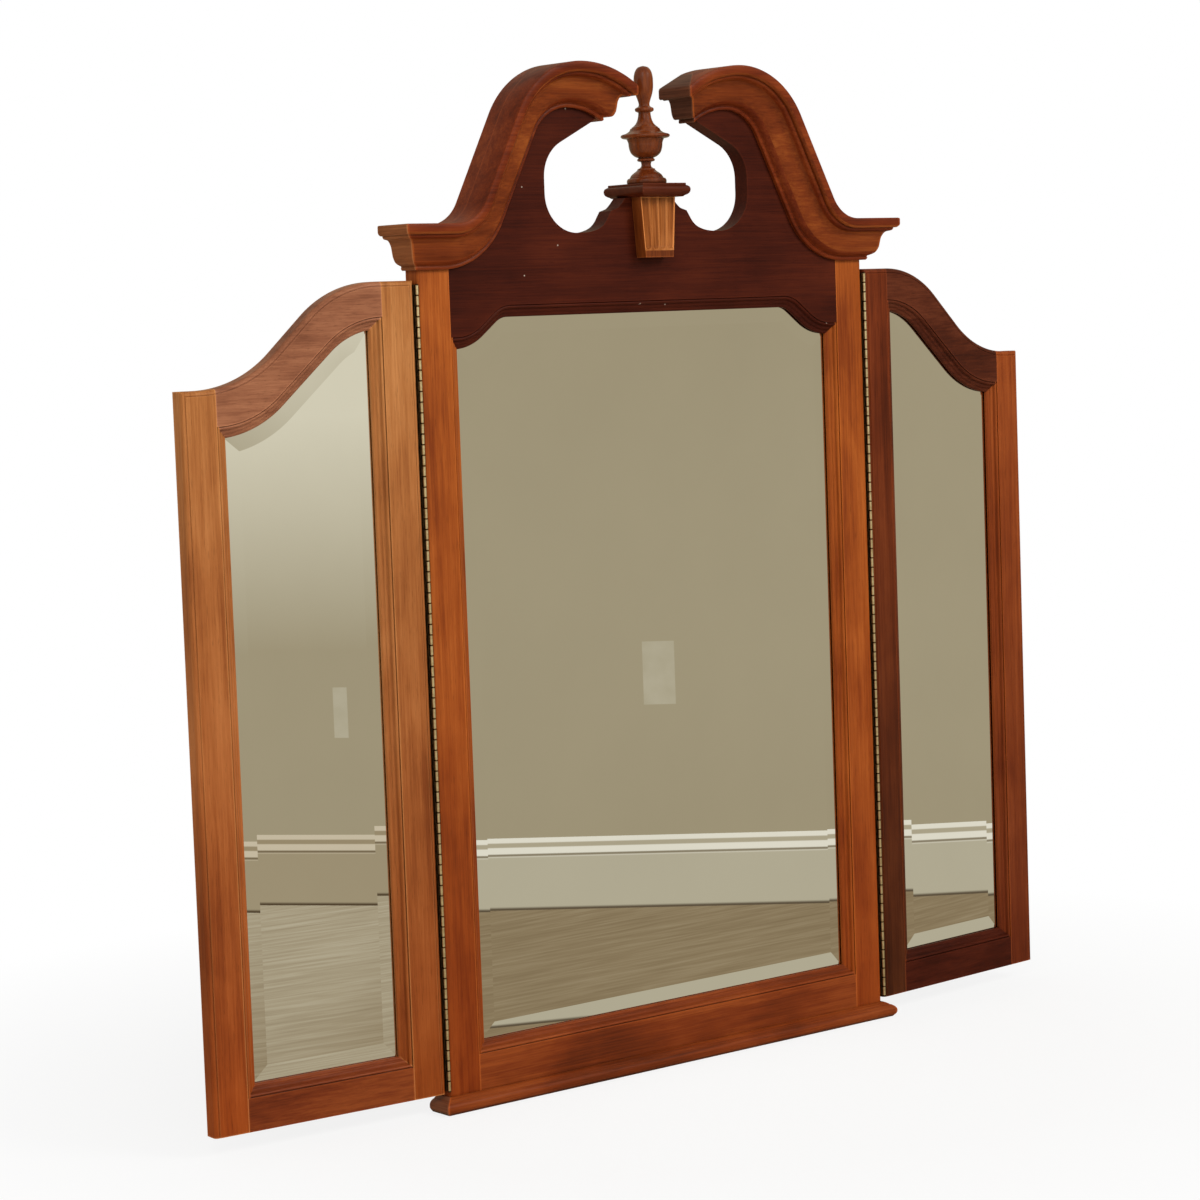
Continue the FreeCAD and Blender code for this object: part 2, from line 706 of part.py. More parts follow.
def returned(moulding, x_at_face, lean, side):
    """The return of a mitred moulding: its end's outline run straight back to the frame's back."""
    edges = []
    for edge in mitre_face(moulding, x_at_face, lean).OuterWire.OrderedEdges:
        at = [edge.valueAt(edge.FirstParameter + (edge.LastParameter - edge.FirstParameter) * share)
              for share in (0, 0.5, 1)]
        start, middle, end = [V(p.x, BACK, p.z) for p in at]
        bow = middle.distanceToLine(start, end - start)
        straight = bow < TINY
        edges.append(Part.makeLine(start, end) if straight else Part.Arc(start, middle, end).toShape())
    outline = Part.Wire(Part.__sortEdges__(edges))
    prism = Part.Face(outline).extrude(V(0, -DEEP, 0))
    return tidy(prism.common(mitre_side(x_at_face, lean, side)))


def crown_parts():
    """Right crown moulding with its outer return and the inner one beside the finial."""
    section = shifted(scaled(crown_profile, crown_height, crown_projection), 0, FRONT, -1)
    path = crown_top_path(crown_end_x - mitre_waste, SIDE + crown_projection + mitre_waste)
    blank = run_moulding(path, section)
    crown = tidy(blank.common(mitre_side(SIDE, 1, -1)).common(mitre_side(NECK_X, -1, 1)))
    return crown, returned(crown, SIDE, 1, 1), returned(crown, NECK_X, -1, -1)


def cut_out():
    """The right cut-out's edge, from the crown's inner end round the lobe and up to the cusp's top."""
    slope = atan2(lobe_slope, 1)
    low, high = (LOBE_X, LOBE_LOW_Z), (LOBE_X, LOBE_HIGH_Z)
    upper = on_circle(high, lobe_radius, pi / 2 - slope)
    nose_x = NECK_X + nose_radius
    nose_end_x = nose_x - nose_radius * sin(slope)
    nose_end_z = upper[1] + (upper[0] - nose_end_x) * lobe_slope
    nose = (nose_x, nose_end_z + nose_radius * cos(slope))
    shoulder = (cusp_shoulder_x, CUSP_TOP_Z - cusp_shoulder_drop)
    ledge = (shoulder[0] - cusp_ledge, shoulder[1] + cusp_ledge_rise)
    top = (cusp_top_half, CUSP_TOP_Z)
    chord = apart(ledge, top)
    across, rise = (top[0] - ledge[0]) / chord, (top[1] - ledge[1]) / chord
    hollow = ((ledge[0] + top[0]) / 2 - cusp_hollow * rise, (ledge[1] + top[1]) / 2 + cusp_hollow * across)
    return joined([
        arc(nose, nose_radius, pi, 3 * pi / 2 - slope),
        arc(high, lobe_radius, pi / 2 - slope, 0),
        arc(low, lobe_radius, 0, -radians(flank_angle)),
        line(shoulder, ledge),
        arc_through(ledge, hollow, top),
    ])


def dowel(start, play=0.0):
    """The finial's dowel, down from start over the plate's top. With play it is the hole that it needs."""
    radius = finial_dowel_radius + play
    stations = [(-start, radius), (finial_dowel_length + play, radius)]
    return tapered(V(0, FINIAL_Y, PLATE_TOP_Z), V(0, 0, -1), "z", dowel_sides, stations)


def dowel_hole():
    return dowel(OVERCUT, dowel_play)


def pediment_board():
    """Shaped head rail and tympanum in one board, its top edge level with the crown's top."""
    top = crown_top_path(NECK_X, SIDE)
    _, head, _, _ = centre_opening()
    outline = top + [line((SIDE, CORNER_Z), (SIGHT_X, CORNER_Z))] + backwards(head)
    outline += [line((-SIGHT_X, CORNER_Z), (-SIDE, CORNER_Z))] + mirrored(top)
    outline += backwards(mirrored(cut_out())) + backwards(cut_out())
    body = slab(closed(outline), FRONT, BACK)
    body = body.common(box(-SIGHT_X, SIGHT_X, FRONT, BACK, 0, PEAK_Z))
    body = body.fuse(sight_strip(head, BACK))
    for direction in (-1, 1):
        body = body.fuse(tenon(direction * SIGHT_X, direction, BOARD_TENON, BACK))
    return tidy(body.cut(dowel_hole()))


def flute(share):
    """Round-ended cutter for one flute, share of the way from the keystone's middle to its side."""
    top, bottom = keystone_top_width / 2, keystone_bottom_width / 2
    foot = V(share * bottom, 0, CUSP_TOP_Z - keystone_height + keystone_foot + flute_radius)
    head = V(share * top, 0, CUSP_TOP_Z + flute_radius)
    lean = degrees(atan2(head.x - foot.x, head.z - foot.z))
    cutter = tapered(V(0, 0, 0), V(0, 0, 1), "z", flute_sides, [
        (-flute_radius, flute_radius * flute_tip_share), (0, flute_radius),
        ((head - foot).Length, flute_radius * top / bottom)])
    cutter.rotate(V(0, 0, 0), V(0, 0, 1), 180 / flute_sides)
    cutter.rotate(V(0, 0, 0), V(0, 1, 0), lean)
    cutter.translate(V(foot.x, KEYSTONE_FRONT - flute_radius + flute_depth, foot.z))
    return cutter


def keystone():
    """Tapered block with flutes that end in round hollows above a plain foot."""
    top, bottom = keystone_top_width / 2, keystone_bottom_width / 2
    z0 = CUSP_TOP_Z - keystone_height
    corners = [(-bottom, z0), (-top, CUSP_TOP_Z), (top, CUSP_TOP_Z), (bottom, z0)]
    outline = [line(a, b) for a, b in zip(corners, corners[1:] + corners[:1])]
    body = slab(outline, KEYSTONE_FRONT, FRONT)
    for i in range(flute_count):
        body = body.cut(flute((2 * i + 1 - flute_count) / flute_count))
    return tidy(body.cut(dowel_hole()))


def cap_plate():
    """Square plate with the same moulded edge on all four sides."""
    section = scaled(plate_profile, plate_width / 2, plate_thickness)
    half = plate_width / 2
    side = section_face(section, lambda p: V(p[0], FINIAL_Y - half, CUSP_TOP_Z + p[1]))
    bar = side.extrude(V(0, plate_width, 0))
    bar = tidy(bar.fuse(flip(bar)))
    crossing = bar.copy()
    crossing.rotate(V(0, FINIAL_Y, 0), V(0, 0, 1), 90)
    return tidy(bar.common(crossing).cut(dowel_hole()))


def finial():
    """Turned urn under an egg, in facets, with the dowel that holds it in plate, keystone and board."""
    stations = [(z, r) for r, z in scaled(finial_profile, finial_radius, finial_height)]
    turned = tapered(V(0, FINIAL_Y, PLATE_TOP_Z), V(0, 0, 1), "z", finial_sides, stations)
    return tidy(turned.fuse(dowel(0)))


# ---------------------------------------------------------------- base moulding
def base_parts():
    """Front base moulding, mitred at both ends, and its right return."""
    reach = SIDE + base_projection + mitre_waste
    section = shifted(scaled(base_profile, base_height, base_projection), 0, FRONT, -1)
    blank = run_moulding([line((-reach, base_height), (reach, base_height))], section)
    inner = mitre_side(SIDE, 1, -1)
    front = tidy(blank.common(inner).common(flip(inner)))
    return front, returned(front, SIDE, 1, 1)


# ---------------------------------------------------------------- wings, drawn lying flat on the right
def wing_blank():
    """The wing's whole outline as one board, its front arrises eased."""
    high, low = (WING_INNER + wing_high_flat, WING_HIGH_Z), (WING_OUTER - wing_low_flat, WING_LOW_Z)
    outline = [line((WING_INNER, WING_BOTTOM_Z), (WING_INNER, WING_HIGH_Z))]
    outline += s_curve(high, low, wing_top_slack, wing_top_balance)
    outline += [line((WING_OUTER, WING_LOW_Z), (WING_OUTER, WING_BOTTOM_Z))]
    body = slab(closed(outline), FRONT, WING_BACK)
    arrises = [e for e in body.Edges if e.BoundBox.YMax < FRONT + NEAR and e.BoundBox.ZMax > sill_z]
    return body.makeChamfer(wing_ease, arrises)


def wing_parts():
    """The wing's wooden members, glass, strips, backboard and screws."""
    opening = wing_opening()
    blank = wing_blank()
    hinge_side, over_glass, outer_side, sill = [sight_strip(side, WING_BACK) for side in opening]
    low_tenon = (WING_BOTTOM_Z + tenon_inset, sill_z - tenon_inset)
    head_tenon = (WING_HEAD_Z + tenon_inset, WING_HIGH_Z - tenon_inset)
    shoulder_tenon = (WING_SHOULDER_Z + tenon_inset, WING_LOW_Z - tenon_inset)

    def member(x0, x1, z1, strip):
        return blank.common(box(x0, x1, -DEEP, DEEP, 0, z1)).fuse(strip)

    hinge_stile = member(WING_INNER, WING_SIGHT_IN, FAR, hinge_side)
    outer_stile = member(WING_SIGHT_OUT, WING_OUTER, FAR, outer_side)
    bottom = member(WING_SIGHT_IN, WING_SIGHT_OUT, sill_z, sill)
    above = [line((WING_SIGHT_IN, FAR), (WING_SIGHT_IN, WING_HEAD_Z))] + opening[1]
    above += [line((WING_SIGHT_OUT, WING_SHOULDER_Z), (WING_SIGHT_OUT, FAR))]
    top = blank.common(slab(closed(above), -DEEP, DEEP)).fuse(over_glass)
    for inner_span, outer_span in ((low_tenon, low_tenon), (head_tenon, shoulder_tenon)):
        hinge_stile = hinge_stile.cut(tenon(WING_SIGHT_IN, -1, inner_span, WING_BACK, tenon_play))
        outer_stile = outer_stile.cut(tenon(WING_SIGHT_OUT, 1, outer_span, WING_BACK, tenon_play))
    bottom = bottom.fuse(tenon(WING_SIGHT_IN, -1, low_tenon, WING_BACK))
    bottom = bottom.fuse(tenon(WING_SIGHT_OUT, 1, low_tenon, WING_BACK))
    top = top.fuse(tenon(WING_SIGHT_IN, -1, head_tenon, WING_BACK))
    top = top.fuse(tenon(WING_SIGHT_OUT, 1, shoulder_tenon, WING_BACK))
    return {
        "hinge_stile": tidy(hinge_stile),
        "outer_stile": tidy(outer_stile),
        "top_rail": tidy(top),
        "bottom_rail": tidy(bottom),
        "glass": glass_pane(opening),
        "retaining_strips": retaining_strips(opening, WING_BACK),
        "backboard": backboard(opening, WING_BACK),
        "back_screws": back_screws(opening, WING_BACK),
    }


# ---------------------------------------------------------------- continuous hinge, right side
def round_the_pin(side, radius, angles, z, height, more=()):
    """An upright prism with corners at the given angles round the pin, and then more as (x, y) from it.

    side is +1 for the wing leaf and -1 for its mirror image, the centre leaf."""
    corners = [on_circle((0, 0), radius, radians(angle)) for angle in angles] + list(more)
    places = [V(HINGE_X + side * x, HINGE_Y + y, z) for x, y in corners]
    return Part.Face(Part.makePolygon(places + places[:1])).extrude(V(0, 0, height))


def knuckle(side, z, height):
    """One knuckle with its tab to the leaf, and with a three-sided bore that just clears the pin."""
    tab = [(LEAF_INSIDE, LEAF_EDGE), (hinge_gap / 2, LEAF_EDGE)]
    blank = round_the_pin(side, knuckle_radius, knuckle_angles, z, height, tab)
    bore_corner = (pin_radius + pin_play) / cos(radians(60))
    bore = round_the_pin(side, bore_corner, bore_angles, z - OVERCUT, height + 2 * OVERCUT)
    return blank.cut(bore)


def hinge_screw_places(side):
    """Where the screw heads lie flush in the leaf's free face, evenly spaced along the hinge."""
    pitch = (HINGE_TOP_Z - HINGE_BOTTOM_Z) / hinge_screw_count
    x, y = HINGE_X + side * LEAF_INSIDE, LEAF_Y + leaf_width / 2
    return [V(x, y, HINGE_BOTTOM_Z + pitch * (i + 0.5)) for i in range(hinge_screw_count)]


def hinge_leaf(side):
    """One leaf with every second knuckle and its countersunk screw holes."""
    outer, inner = HINGE_X + side * hinge_gap / 2, HINGE_X + side * LEAF_INSIDE
    leaf = box(min(inner, outer), max(inner, outer), LEAF_Y, LEAF_Y + leaf_width, HINGE_BOTTOM_Z, HINGE_TOP_Z)
    knuckles = []
    for i in range(0 if side < 0 else 1, KNUCKLES, 2):
        below = knuckle_play / 2 if i > 0 else 0
        above = knuckle_play / 2 if i < KNUCKLES - 1 else 0
        z = HINGE_BOTTOM_Z + i * knuckle_pitch + below
        knuckles.append(knuckle(side, z, knuckle_pitch - below - above))
    leaf = leaf.multiFuse(knuckles)
    for place in hinge_screw_places(side):
        leaf = leaf.cut(countersunk_screw(place, V(side, 0, 0), "x", sink_play))
    return tidy(leaf)


def hinge_screws(side):
    return Part.makeCompound([
        countersunk_screw(place, V(side, 0, 0), "x") for place in hinge_screw_places(side)])


def hinge_pin():
    """Round pin with a shallow head under and over the end knuckles."""
    base = V(HINGE_X, HINGE_Y, HINGE_BOTTOM_Z)
    tall = HINGE_TOP_Z - HINGE_BOTTOM_Z
    pin = Part.makeCylinder(pin_radius, tall, base)
    for low in (-pin_head_height, tall):
        pin = pin.fuse(tapered(base, V(0, 0, 1), "z", pin_head_sides, [
            (low, pin_head_radius), (low + pin_head_height, pin_head_radius)]))
    return tidy(pin)


# ---------------------------------------------------------------- assembly
def swing(shape, angle):
    """Turn a right-hand wing piece about the hinge pin, its outer edge backwards."""
    turned = shape.copy()
    turned.rotate(V(HINGE_X, HINGE_Y, 0), V(0, 0, 1), angle)
    return turned


def save(name, shape):
    shape.exportStep("parts/" + name + ".step")


def save_pair(name, right_shape):
    """A right-hand piece and its mirror image on the left."""
    save(name + "_right", right_shape)
    save(name + "_left", flip(right_shape))


def main():
    opening = centre_opening()
    crown, outer_return, inner_return = crown_parts()
    base_front, base_return = base_parts()
    save_pair("stile", stile())
    save("bottom_rail", bottom_rail())
    save("pediment_board", pediment_board())
    save_pair("crown", crown)
    save_pair("crown_outer_return", outer_return)
    save_pair("crown_inner_return", inner_return)
    save("keystone", keystone())
    save("cap_plate", cap_plate())
    save("finial", finial())
    save("base_moulding_front", base_front)
    save_pair("base_return", base_return)
    save("centre_glass", glass_pane(opening))
    save("centre_retaining_strips", retaining_strips(opening, BACK))
    save("centre_backboard", backboard(opening, BACK))
    save("centre_back_screws", back_screws(opening, BACK))
    save("support_inserts", support_inserts())
    save_pair("hinge_centre_leaf", hinge_leaf(-1))
    save_pair("hinge_centre_screws", hinge_screws(-1))
    save_pair("hinge_pin", hinge_pin())

    wing = {"wing_" + name: shape for name, shape in wing_parts().items()}
    wing["hinge_wing_leaf"] = hinge_leaf(1)
    wing["hinge_wing_screws"] = hinge_screws(1)
    for name, shape in wing.items():
        save(name + "_right", swing(shape, right_rest_angle))
        save(name + "_left", flip(swing(shape, left_rest_angle)))


main()
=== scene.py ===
# %% [markdown]
# # Trifold vanity mirror
# Three mirrors in wooden frames. The middle one carries a swan-neck pediment with a turned finial, and a
# continuous brass hinge on each side carries a shaped wing. The solids come from the CAD frame as named
# nodes. This script draws the mouldings, turnings and hinges finely round the same lines, and gives every
# piece its finish. Sizes are in millimetres, and a piece is turned into metres when it is made.

# %% Load the CAD frame
import math

import bmesh
import bpy
from mathutils import Matrix, Vector


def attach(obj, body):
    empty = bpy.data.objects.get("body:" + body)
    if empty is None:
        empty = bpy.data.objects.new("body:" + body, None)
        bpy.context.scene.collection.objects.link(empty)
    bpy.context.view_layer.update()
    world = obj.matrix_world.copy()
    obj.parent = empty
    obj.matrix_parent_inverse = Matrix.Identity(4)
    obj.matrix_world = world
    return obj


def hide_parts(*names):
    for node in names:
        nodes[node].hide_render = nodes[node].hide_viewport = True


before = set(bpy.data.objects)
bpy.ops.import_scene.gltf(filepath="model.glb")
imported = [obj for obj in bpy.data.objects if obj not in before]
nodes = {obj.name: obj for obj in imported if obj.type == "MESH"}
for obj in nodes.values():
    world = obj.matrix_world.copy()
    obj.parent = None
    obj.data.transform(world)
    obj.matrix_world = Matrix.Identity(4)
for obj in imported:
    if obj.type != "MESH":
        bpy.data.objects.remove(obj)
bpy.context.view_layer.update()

# %% [markdown]
# ## Sizes
# The solids have the same main sizes, so that each drawn piece lies where its solid is. The origin is the
# middle of the centre frame's bottom edge, +Z is up and -Y is the front. Names that end in _X, _Y or _Z are
# places on that axis. The sight lines are the edges of the openings in which the mirrors show.

# %% Sizes of the frames
SIDES = ("left", "right")
FRONT, BACK, WING_BACK = -12.0, 12.0, 8.0
GLASS_FRONT, GLASS_BACK = 0.0, 5.0
SIDE, SIGHT_X = 362.0, 316.0
RUN_Z, SILL_Z, CORNER_Z = 1077.0, 65.0, 941.5
WING_IN, WING_OUT = 368.0, 684.0
WING_SIGHT_IN, WING_SIGHT_OUT = 413.0, 639.0
WING_BOTTOM_Z = 25.0
WING_TOP_Z, WING_LOW_TOP_Z = 1011.0, 892.0
WING_HEAD_Z, WING_LOW_HEAD_Z = 969.5, 850.0
HINGE_X, HINGE_Y = 365.0, -14.4
REST_ANGLE = {"left": 4.0, "right": 4.7}
print("centre frame", 2 * SIDE, "mm wide, each wing", WING_OUT - WING_IN, "mm")

# %% [markdown]
# ## Lines in the plane of the frame
# Joiners draw such a frame as lines on a board: straight runs, and curves made of two arcs that flow into
# each other. Blender's curve objects could hold them. Plain lists of points are chosen because they can be
# cut, mirrored and moved sideways with a little arithmetic. A line is a list of (x, z) points, close together
# on the arcs. Seen from the front and walked clockwise, the wood is on the right.

# %% Arcs and S curves
ARC_STEP, FEWEST_STEPS = 3.0, 6


def arc(centre, radius, start, end):
    """Points on an arc between two angles in radians, from +X towards +Z."""
    count = max(FEWEST_STEPS, int(abs(end - start) * radius / ARC_STEP))
    angles = [start + (end - start) * i / count for i in range(count + 1)]
    return [(centre[0] + radius * math.cos(a), centre[1] + radius * math.sin(a)) for a in angles]


def s_curve(high_end, high_radius, low_end, low_radius):
    """Level, over a round shoulder, down and out of a hollow to level again, towards greater x."""
    high = (high_end[0], high_end[1] - high_radius)
    low = (low_end[0], low_end[1] + low_radius)
    away = math.hypot(low[0] - high[0], low[1] - high[1])
    angle = math.atan2(low[1] - high[1], low[0] - high[0]) + math.acos((high_radius + low_radius) / away)
    return (arc(high, high_radius, math.pi / 2, angle)
            + arc(low, low_radius, angle + math.pi, 3 * math.pi / 2))


# %% Heads of the three openings and tops of the wings
HEAD_LEVEL_END, EAR_X = (224.0, 978.5), 306.0
HEAD_SHOULDER, HEAD_HOLLOW = 42.0, 58.0
WING_HEAD_SHOULDER, WING_HEAD_HOLLOW = 115.0, 125.0
WING_TOP_SHOULDER, WING_TOP_HOLLOW = 140.0, 150.0
INNER_FLAT, OUTER_FLAT = 50.0, 24.0


def mirrored(points):
    """The mirror image of a line, walked so that the wood stays on the right."""
    return [(-x, z) for x, z in reversed(points)]


ogee = s_curve(HEAD_LEVEL_END, HEAD_SHOULDER, (EAR_X, CORNER_Z), HEAD_HOLLOW)
CENTRE_HEAD = [(-SIGHT_X, CORNER_Z)] + mirrored(ogee) + ogee + [(SIGHT_X, CORNER_Z)]
WING_HEAD = s_curve((WING_SIGHT_IN, WING_HEAD_Z), WING_HEAD_SHOULDER,
                    (WING_SIGHT_OUT, WING_LOW_HEAD_Z), WING_HEAD_HOLLOW)
WING_TOP = s_curve((WING_IN + INNER_FLAT, WING_TOP_Z), WING_TOP_SHOULDER,
                   (WING_OUT - OUTER_FLAT, WING_LOW_TOP_Z), WING_TOP_HOLLOW)
print("points in the centre's head line:", len(CENTRE_HEAD), "and in a wing's:", len(WING_HEAD))

# %% [markdown]
# ## Sweeping a section along a line
# A moulding is one section run along a line and mitred where it meets the next. A curve with a bevel object
# could sweep it, but that pinches the section at corners. Here each point of the section is moved sideways
# from the line, and at a corner it slides along the cut. That keeps the small beads and grooves crisp.

# %% Sideways directions and swept rows


def right_of(a, b):
    """The direction to the right of the way from a to b."""
    dx, dz = b[0] - a[0], b[1] - a[1]
    length = math.hypot(dx, dz)
    return dz / length, -dx / length


def spread(points, start_cut=None, end_cut=None):
    """For each point, how it moves for every millimetre to the right of the line."""
    normals = [right_of(a, b) for a, b in zip(points, points[1:])]
    moves = []
    for i in range(len(points)):
        before, after = normals[max(i - 1, 0)], normals[min(i, len(normals) - 1)]
        if i == 0 and start_cut:
            cut = start_cut
        elif i == len(points) - 1 and end_cut:
            cut = end_cut
        else:
            cut = (before[0] + after[0], before[1] + after[1])
        share = cut[0] * after[0] + cut[1] * after[1]
        moves.append((cut[0] / share, cut[1] / share))
    return moves


def sweep(points, section, start_cut=None, end_cut=None):
    """Rows of (x, y, z), one for each point of the line. The section is in (to the right, y)."""
    return [[(x + mx * a, y, z + mz * a) for a, y in section]
            for (x, z), (mx, mz) in zip(points, spread(points, start_cut, end_cut))]


print("at a square corner a point slides", spread([(0, 0), (0, 1), (1, 1)])[1], "for each millimetre")

# %% [markdown]
# ## A piece
# On the real mirror each member is one piece of wood. Here it is gathered from skins between rows of points
# and from flat faces, and then welded into one closed mesh. A cube with modifiers is quicker to start with,
# but these sections are too fine for it. Edges that bend sharply stay sharp and the rest is smooth, as on
# sanded wood.

# %% Weld, smooth and swing
METRES = 0.001
WELD, SHARP, MOST_CORNERS = 0.004, math.radians(30), 4


def weld(mesh):
    """Join the gathered faces into one skin that faces outwards."""
    bmesh.ops.remove_doubles(mesh, verts=mesh.verts, dist=WELD)
    bmesh.ops.dissolve_degenerate(mesh, edges=mesh.edges, dist=WELD / 2)
    large = [f for f in mesh.faces if len(f.verts) > MOST_CORNERS]
    bmesh.ops.triangulate(mesh, faces=large, ngon_method="EAR_CLIP")
    bmesh.ops.recalc_face_normals(mesh, faces=mesh.faces)


def smooth_but_sharp(mesh, sharp):
    """Shade smoothly, apart from edges that bend by more than sharp."""
    for face in mesh.faces:
        face.smooth = True
    for edge in mesh.edges:
        edge.smooth = len(edge.link_faces) == 2 and edge.calc_face_angle(0) < sharp


def swing(side):
    """The place of a wing piece that is drawn lying flat on the right."""
    pin = Vector((HINGE_X, HINGE_Y, 0))
    turn = Matrix.Rotation(math.radians(REST_ANGLE[side]), 4, "Z")
    return Matrix.Translation(pin) @ turn @ Matrix.Translation(-pin)


print("degrees that the wings stand open:", REST_ANGLE)


# %% Gather and place a piece
made = []


class Piece:
    def __init__(self):
        self.mesh = bmesh.new()

    def skin(self, rows, paint=0, closed=False):
        """Quads between neighbouring rows, and between the last and the first where it is closed.

        paint is one paint, or a list with the paint of each strip along the rows."""
        grid = [[self.mesh.verts.new(p) for p in row] for row in rows]
        for near, far in zip(grid, grid[1:] + (grid[:1] if closed else [])):
            for k in range(len(near) - 1):
                quad = self.mesh.faces.new((near[k], near[k + 1], far[k + 1], far[k]))
                quad.material_index = paint[k] if isinstance(paint, list) else paint
        return self

    def face(self, points, paint=0):
        self.mesh.faces.new([self.mesh.verts.new(p) for p in points]).material_index = paint
        return self

    def place(self, name, body, slot, paints, stands_for, side="right", wing=False, sharp=SHARP):
        """Put the piece on its body, mirrored where side is left. stands_for names its CAD nodes."""
        mesh = self.mesh
        weld(mesh)
        where = swing(side) if wing else Matrix.Identity(4)
        if side == "left":
            where = Matrix.Scale(-1, 4, (1, 0, 0)) @ where
            bmesh.ops.reverse_faces(mesh, faces=mesh.faces)
        mesh.transform(Matrix.Scale(METRES, 4) @ where)
        mesh.normal_update()
        if mesh.calc_volume(signed=True) <= 0:
            raise ValueError(name + " is inside out")
        smooth_but_sharp(mesh, sharp)
        data = bpy.data.meshes.new(name)
        mesh.to_mesh(data)
        mesh.free()
        for paint in paints:
            data.materials.append(paint)
        piece = bpy.data.objects.new(name, data)
        bpy.context.scene.collection.objects.link(piece)
        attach(piece, body)
        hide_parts(*stands_for)
        made.append(piece)
        print("made", name, "with", len(data.polygons), "faces")
        return piece


# %% [markdown]
# ## Shader nodes
# A finish in Blender is a tree of nodes that ends in a shader. Pictures of wood could be wrapped round the
# pieces, but they would repeat and stretch. Noise nodes draw the grain in the piece's own metres instead, so
# that it stays on the wood when a wing swings. These helpers make, set and link the nodes.

# %% Set and link nodes


def put(tree, onto, **settings):
    """Set a node's inputs and properties.

    A key names an input, with an underscore for each space, or else a property of the node. Where the value
    is another node's output it is linked."""
    for key, value in settings.items():
        socket = key.replace("_", " ")
        if isinstance(value, bpy.types.NodeSocket):
            tree.links.new(value, onto.inputs[socket])
        elif socket in onto.inputs:
            onto.inputs[socket].default_value = value
        else:
            setattr(onto, key, value)
    return onto


def node(tree, kind, **settings):
    return put(tree, tree.nodes.new(kind), **settings)


def new_material(name):
    material = bpy.data.materials.new(name)
    material.use_nodes = True
    tree = material.node_tree
    return material, tree, tree.nodes["Principled BSDF"]


# %% Ramps, mixes and noise
MIX_INPUTS, MIX_RESULT = (0, 6, 7), 2


def ramp(tree, source, stops):
    """A colour ramp. Each stop is a place and a grey or a colour."""
    bands = node(tree, "ShaderNodeValToRGB", Fac=source)
    while len(bands.color_ramp.elements) < len(stops):
        bands.color_ramp.elements.new(0.5)
    for element, (where, tone) in zip(bands.color_ramp.elements, stops):
        element.position = where
        element.color = (*tone, 1) if isinstance(tone, tuple) else (tone, tone, tone, 1)
    return bands.outputs["Color"]


def mix(tree, factor, first, second, blend="MIX"):
    """Mix two colours. The Mix node has its colour sockets at fixed places, after those for plain numbers."""
    blender = node(tree, "ShaderNodeMix", data_type="RGBA", blend_type=blend)
    for index, value in zip(MIX_INPUTS, (factor, first, second)):
        if isinstance(value, bpy.types.NodeSocket):
            tree.links.new(value, blender.inputs[index])
        else:
            blender.inputs[index].default_value = value
    return blender.outputs[MIX_RESULT]


def own_metres(tree):
    """Where a point lies in its own piece, in metres."""
    return node(tree, "ShaderNodeTexCoord").outputs["Object"]


def stretched_noise(tree, scale, detail, roughness, distortion=0.0, shift=(0, 0, 0)):
    """Noise with scale as turns per metre in x, y and z."""
    mapped = node(tree, "ShaderNodeMapping", Vector=own_metres(tree), Scale=scale, Location=shift)
    return node(tree, "ShaderNodeTexNoise", Vector=mapped.outputs["Vector"], Scale=1.0, Detail=detail,
                Roughness=roughness, Distortion=distortion).outputs["Fac"]


# %% [markdown]
# ## Wood
# The frame is cherry and its finish is a wiped stain under lacquer. Each finish mixes what real wood shows:
# streaks, fine fibres, blotches where the stain took unevenly, and pores. They are stretched along the grain,
# which runs up a stile and across a rail. The quirks of the mouldings are darkened, for stain gathered there
# and as painted shade, and the sharp edges are lightened, for worn wood and as a painted highlight. Those
# places could be painted by hand. Two ambient occlusion nodes find them on any shape: one looks outwards for
# hollows, the other looks into the wood for edges.

# %% Figure of the wood
GRAIN_AXES = {"x": 0, "y": 1, "z": 2}
STREAKS, FIBRES, BLOTCHES, PORES = (58, 1.8), (420, 11), (10, 5), (1400, 60)
BLOTCH_SHARE, PORE_SHARE = 0.40, 0.6
SHIFT_SHARES = (1.0, 1.7, 0.6)


def stretch(turns, grain):
    """Turns per metre across and along the grain, as a scale in x, y and z."""
    across, lengthwise = turns
    sizes = [across] * 3
    sizes[GRAIN_AXES[grain]] = lengthwise
    return tuple(sizes)


def figured(tree, tones, grain, shift, figure):
    """The colour of the stained wood from its three tones, and the fibres alone."""
    dark, middle, light = tones
    offset = tuple(shift * share for share in SHIFT_SHARES)
    streaks = stretched_noise(tree, stretch(STREAKS, grain), 4, 0.6, 0.6, offset)
    fibres = stretched_noise(tree, stretch(FIBRES, grain), 4, 0.6, 0.3, offset)
    blotches = stretched_noise(tree, stretch(BLOTCHES, grain), 3, 0.55, 0.3, offset)
    pores = stretched_noise(tree, stretch(PORES, grain), 2, 0.5, 0.0, offset)
    tone = mix(tree, figure, ramp(tree, fibres, [(0.30, 0.0), (0.70, 1.0)]),
               ramp(tree, streaks, [(0.32, 0.0), (0.68, 1.0)]))
    tone = mix(tree, BLOTCH_SHARE, tone, ramp(tree, blotches, [(0.34, 0.0), (0.66, 1.0)]))
    colour = ramp(tree, tone, [(0.20, dark), (0.50, middle), (0.80, light)])
    pitted = ramp(tree, pores, [(0.30, 0.5), (0.40, 1.0)])
    return mix(tree, PORE_SHARE, colour, pitted, "MULTIPLY"), fibres


print("turns of the streaks on an upright board, per metre:", stretch(STREAKS, "z"))


# %% Darker foot, nicks, stain and painted shade in hollows, worn edges and painted highlight
NICK_TURNS, BARE_WOOD = 11.0, (0.62, 0.50, 0.40, 1)
HOLLOW_REACH, EDGE_REACH, AO_SAMPLES = 0.005, 0.0022, 6
RUBBED_AND_HIGHLIGHT_LIGHTER = 1.9


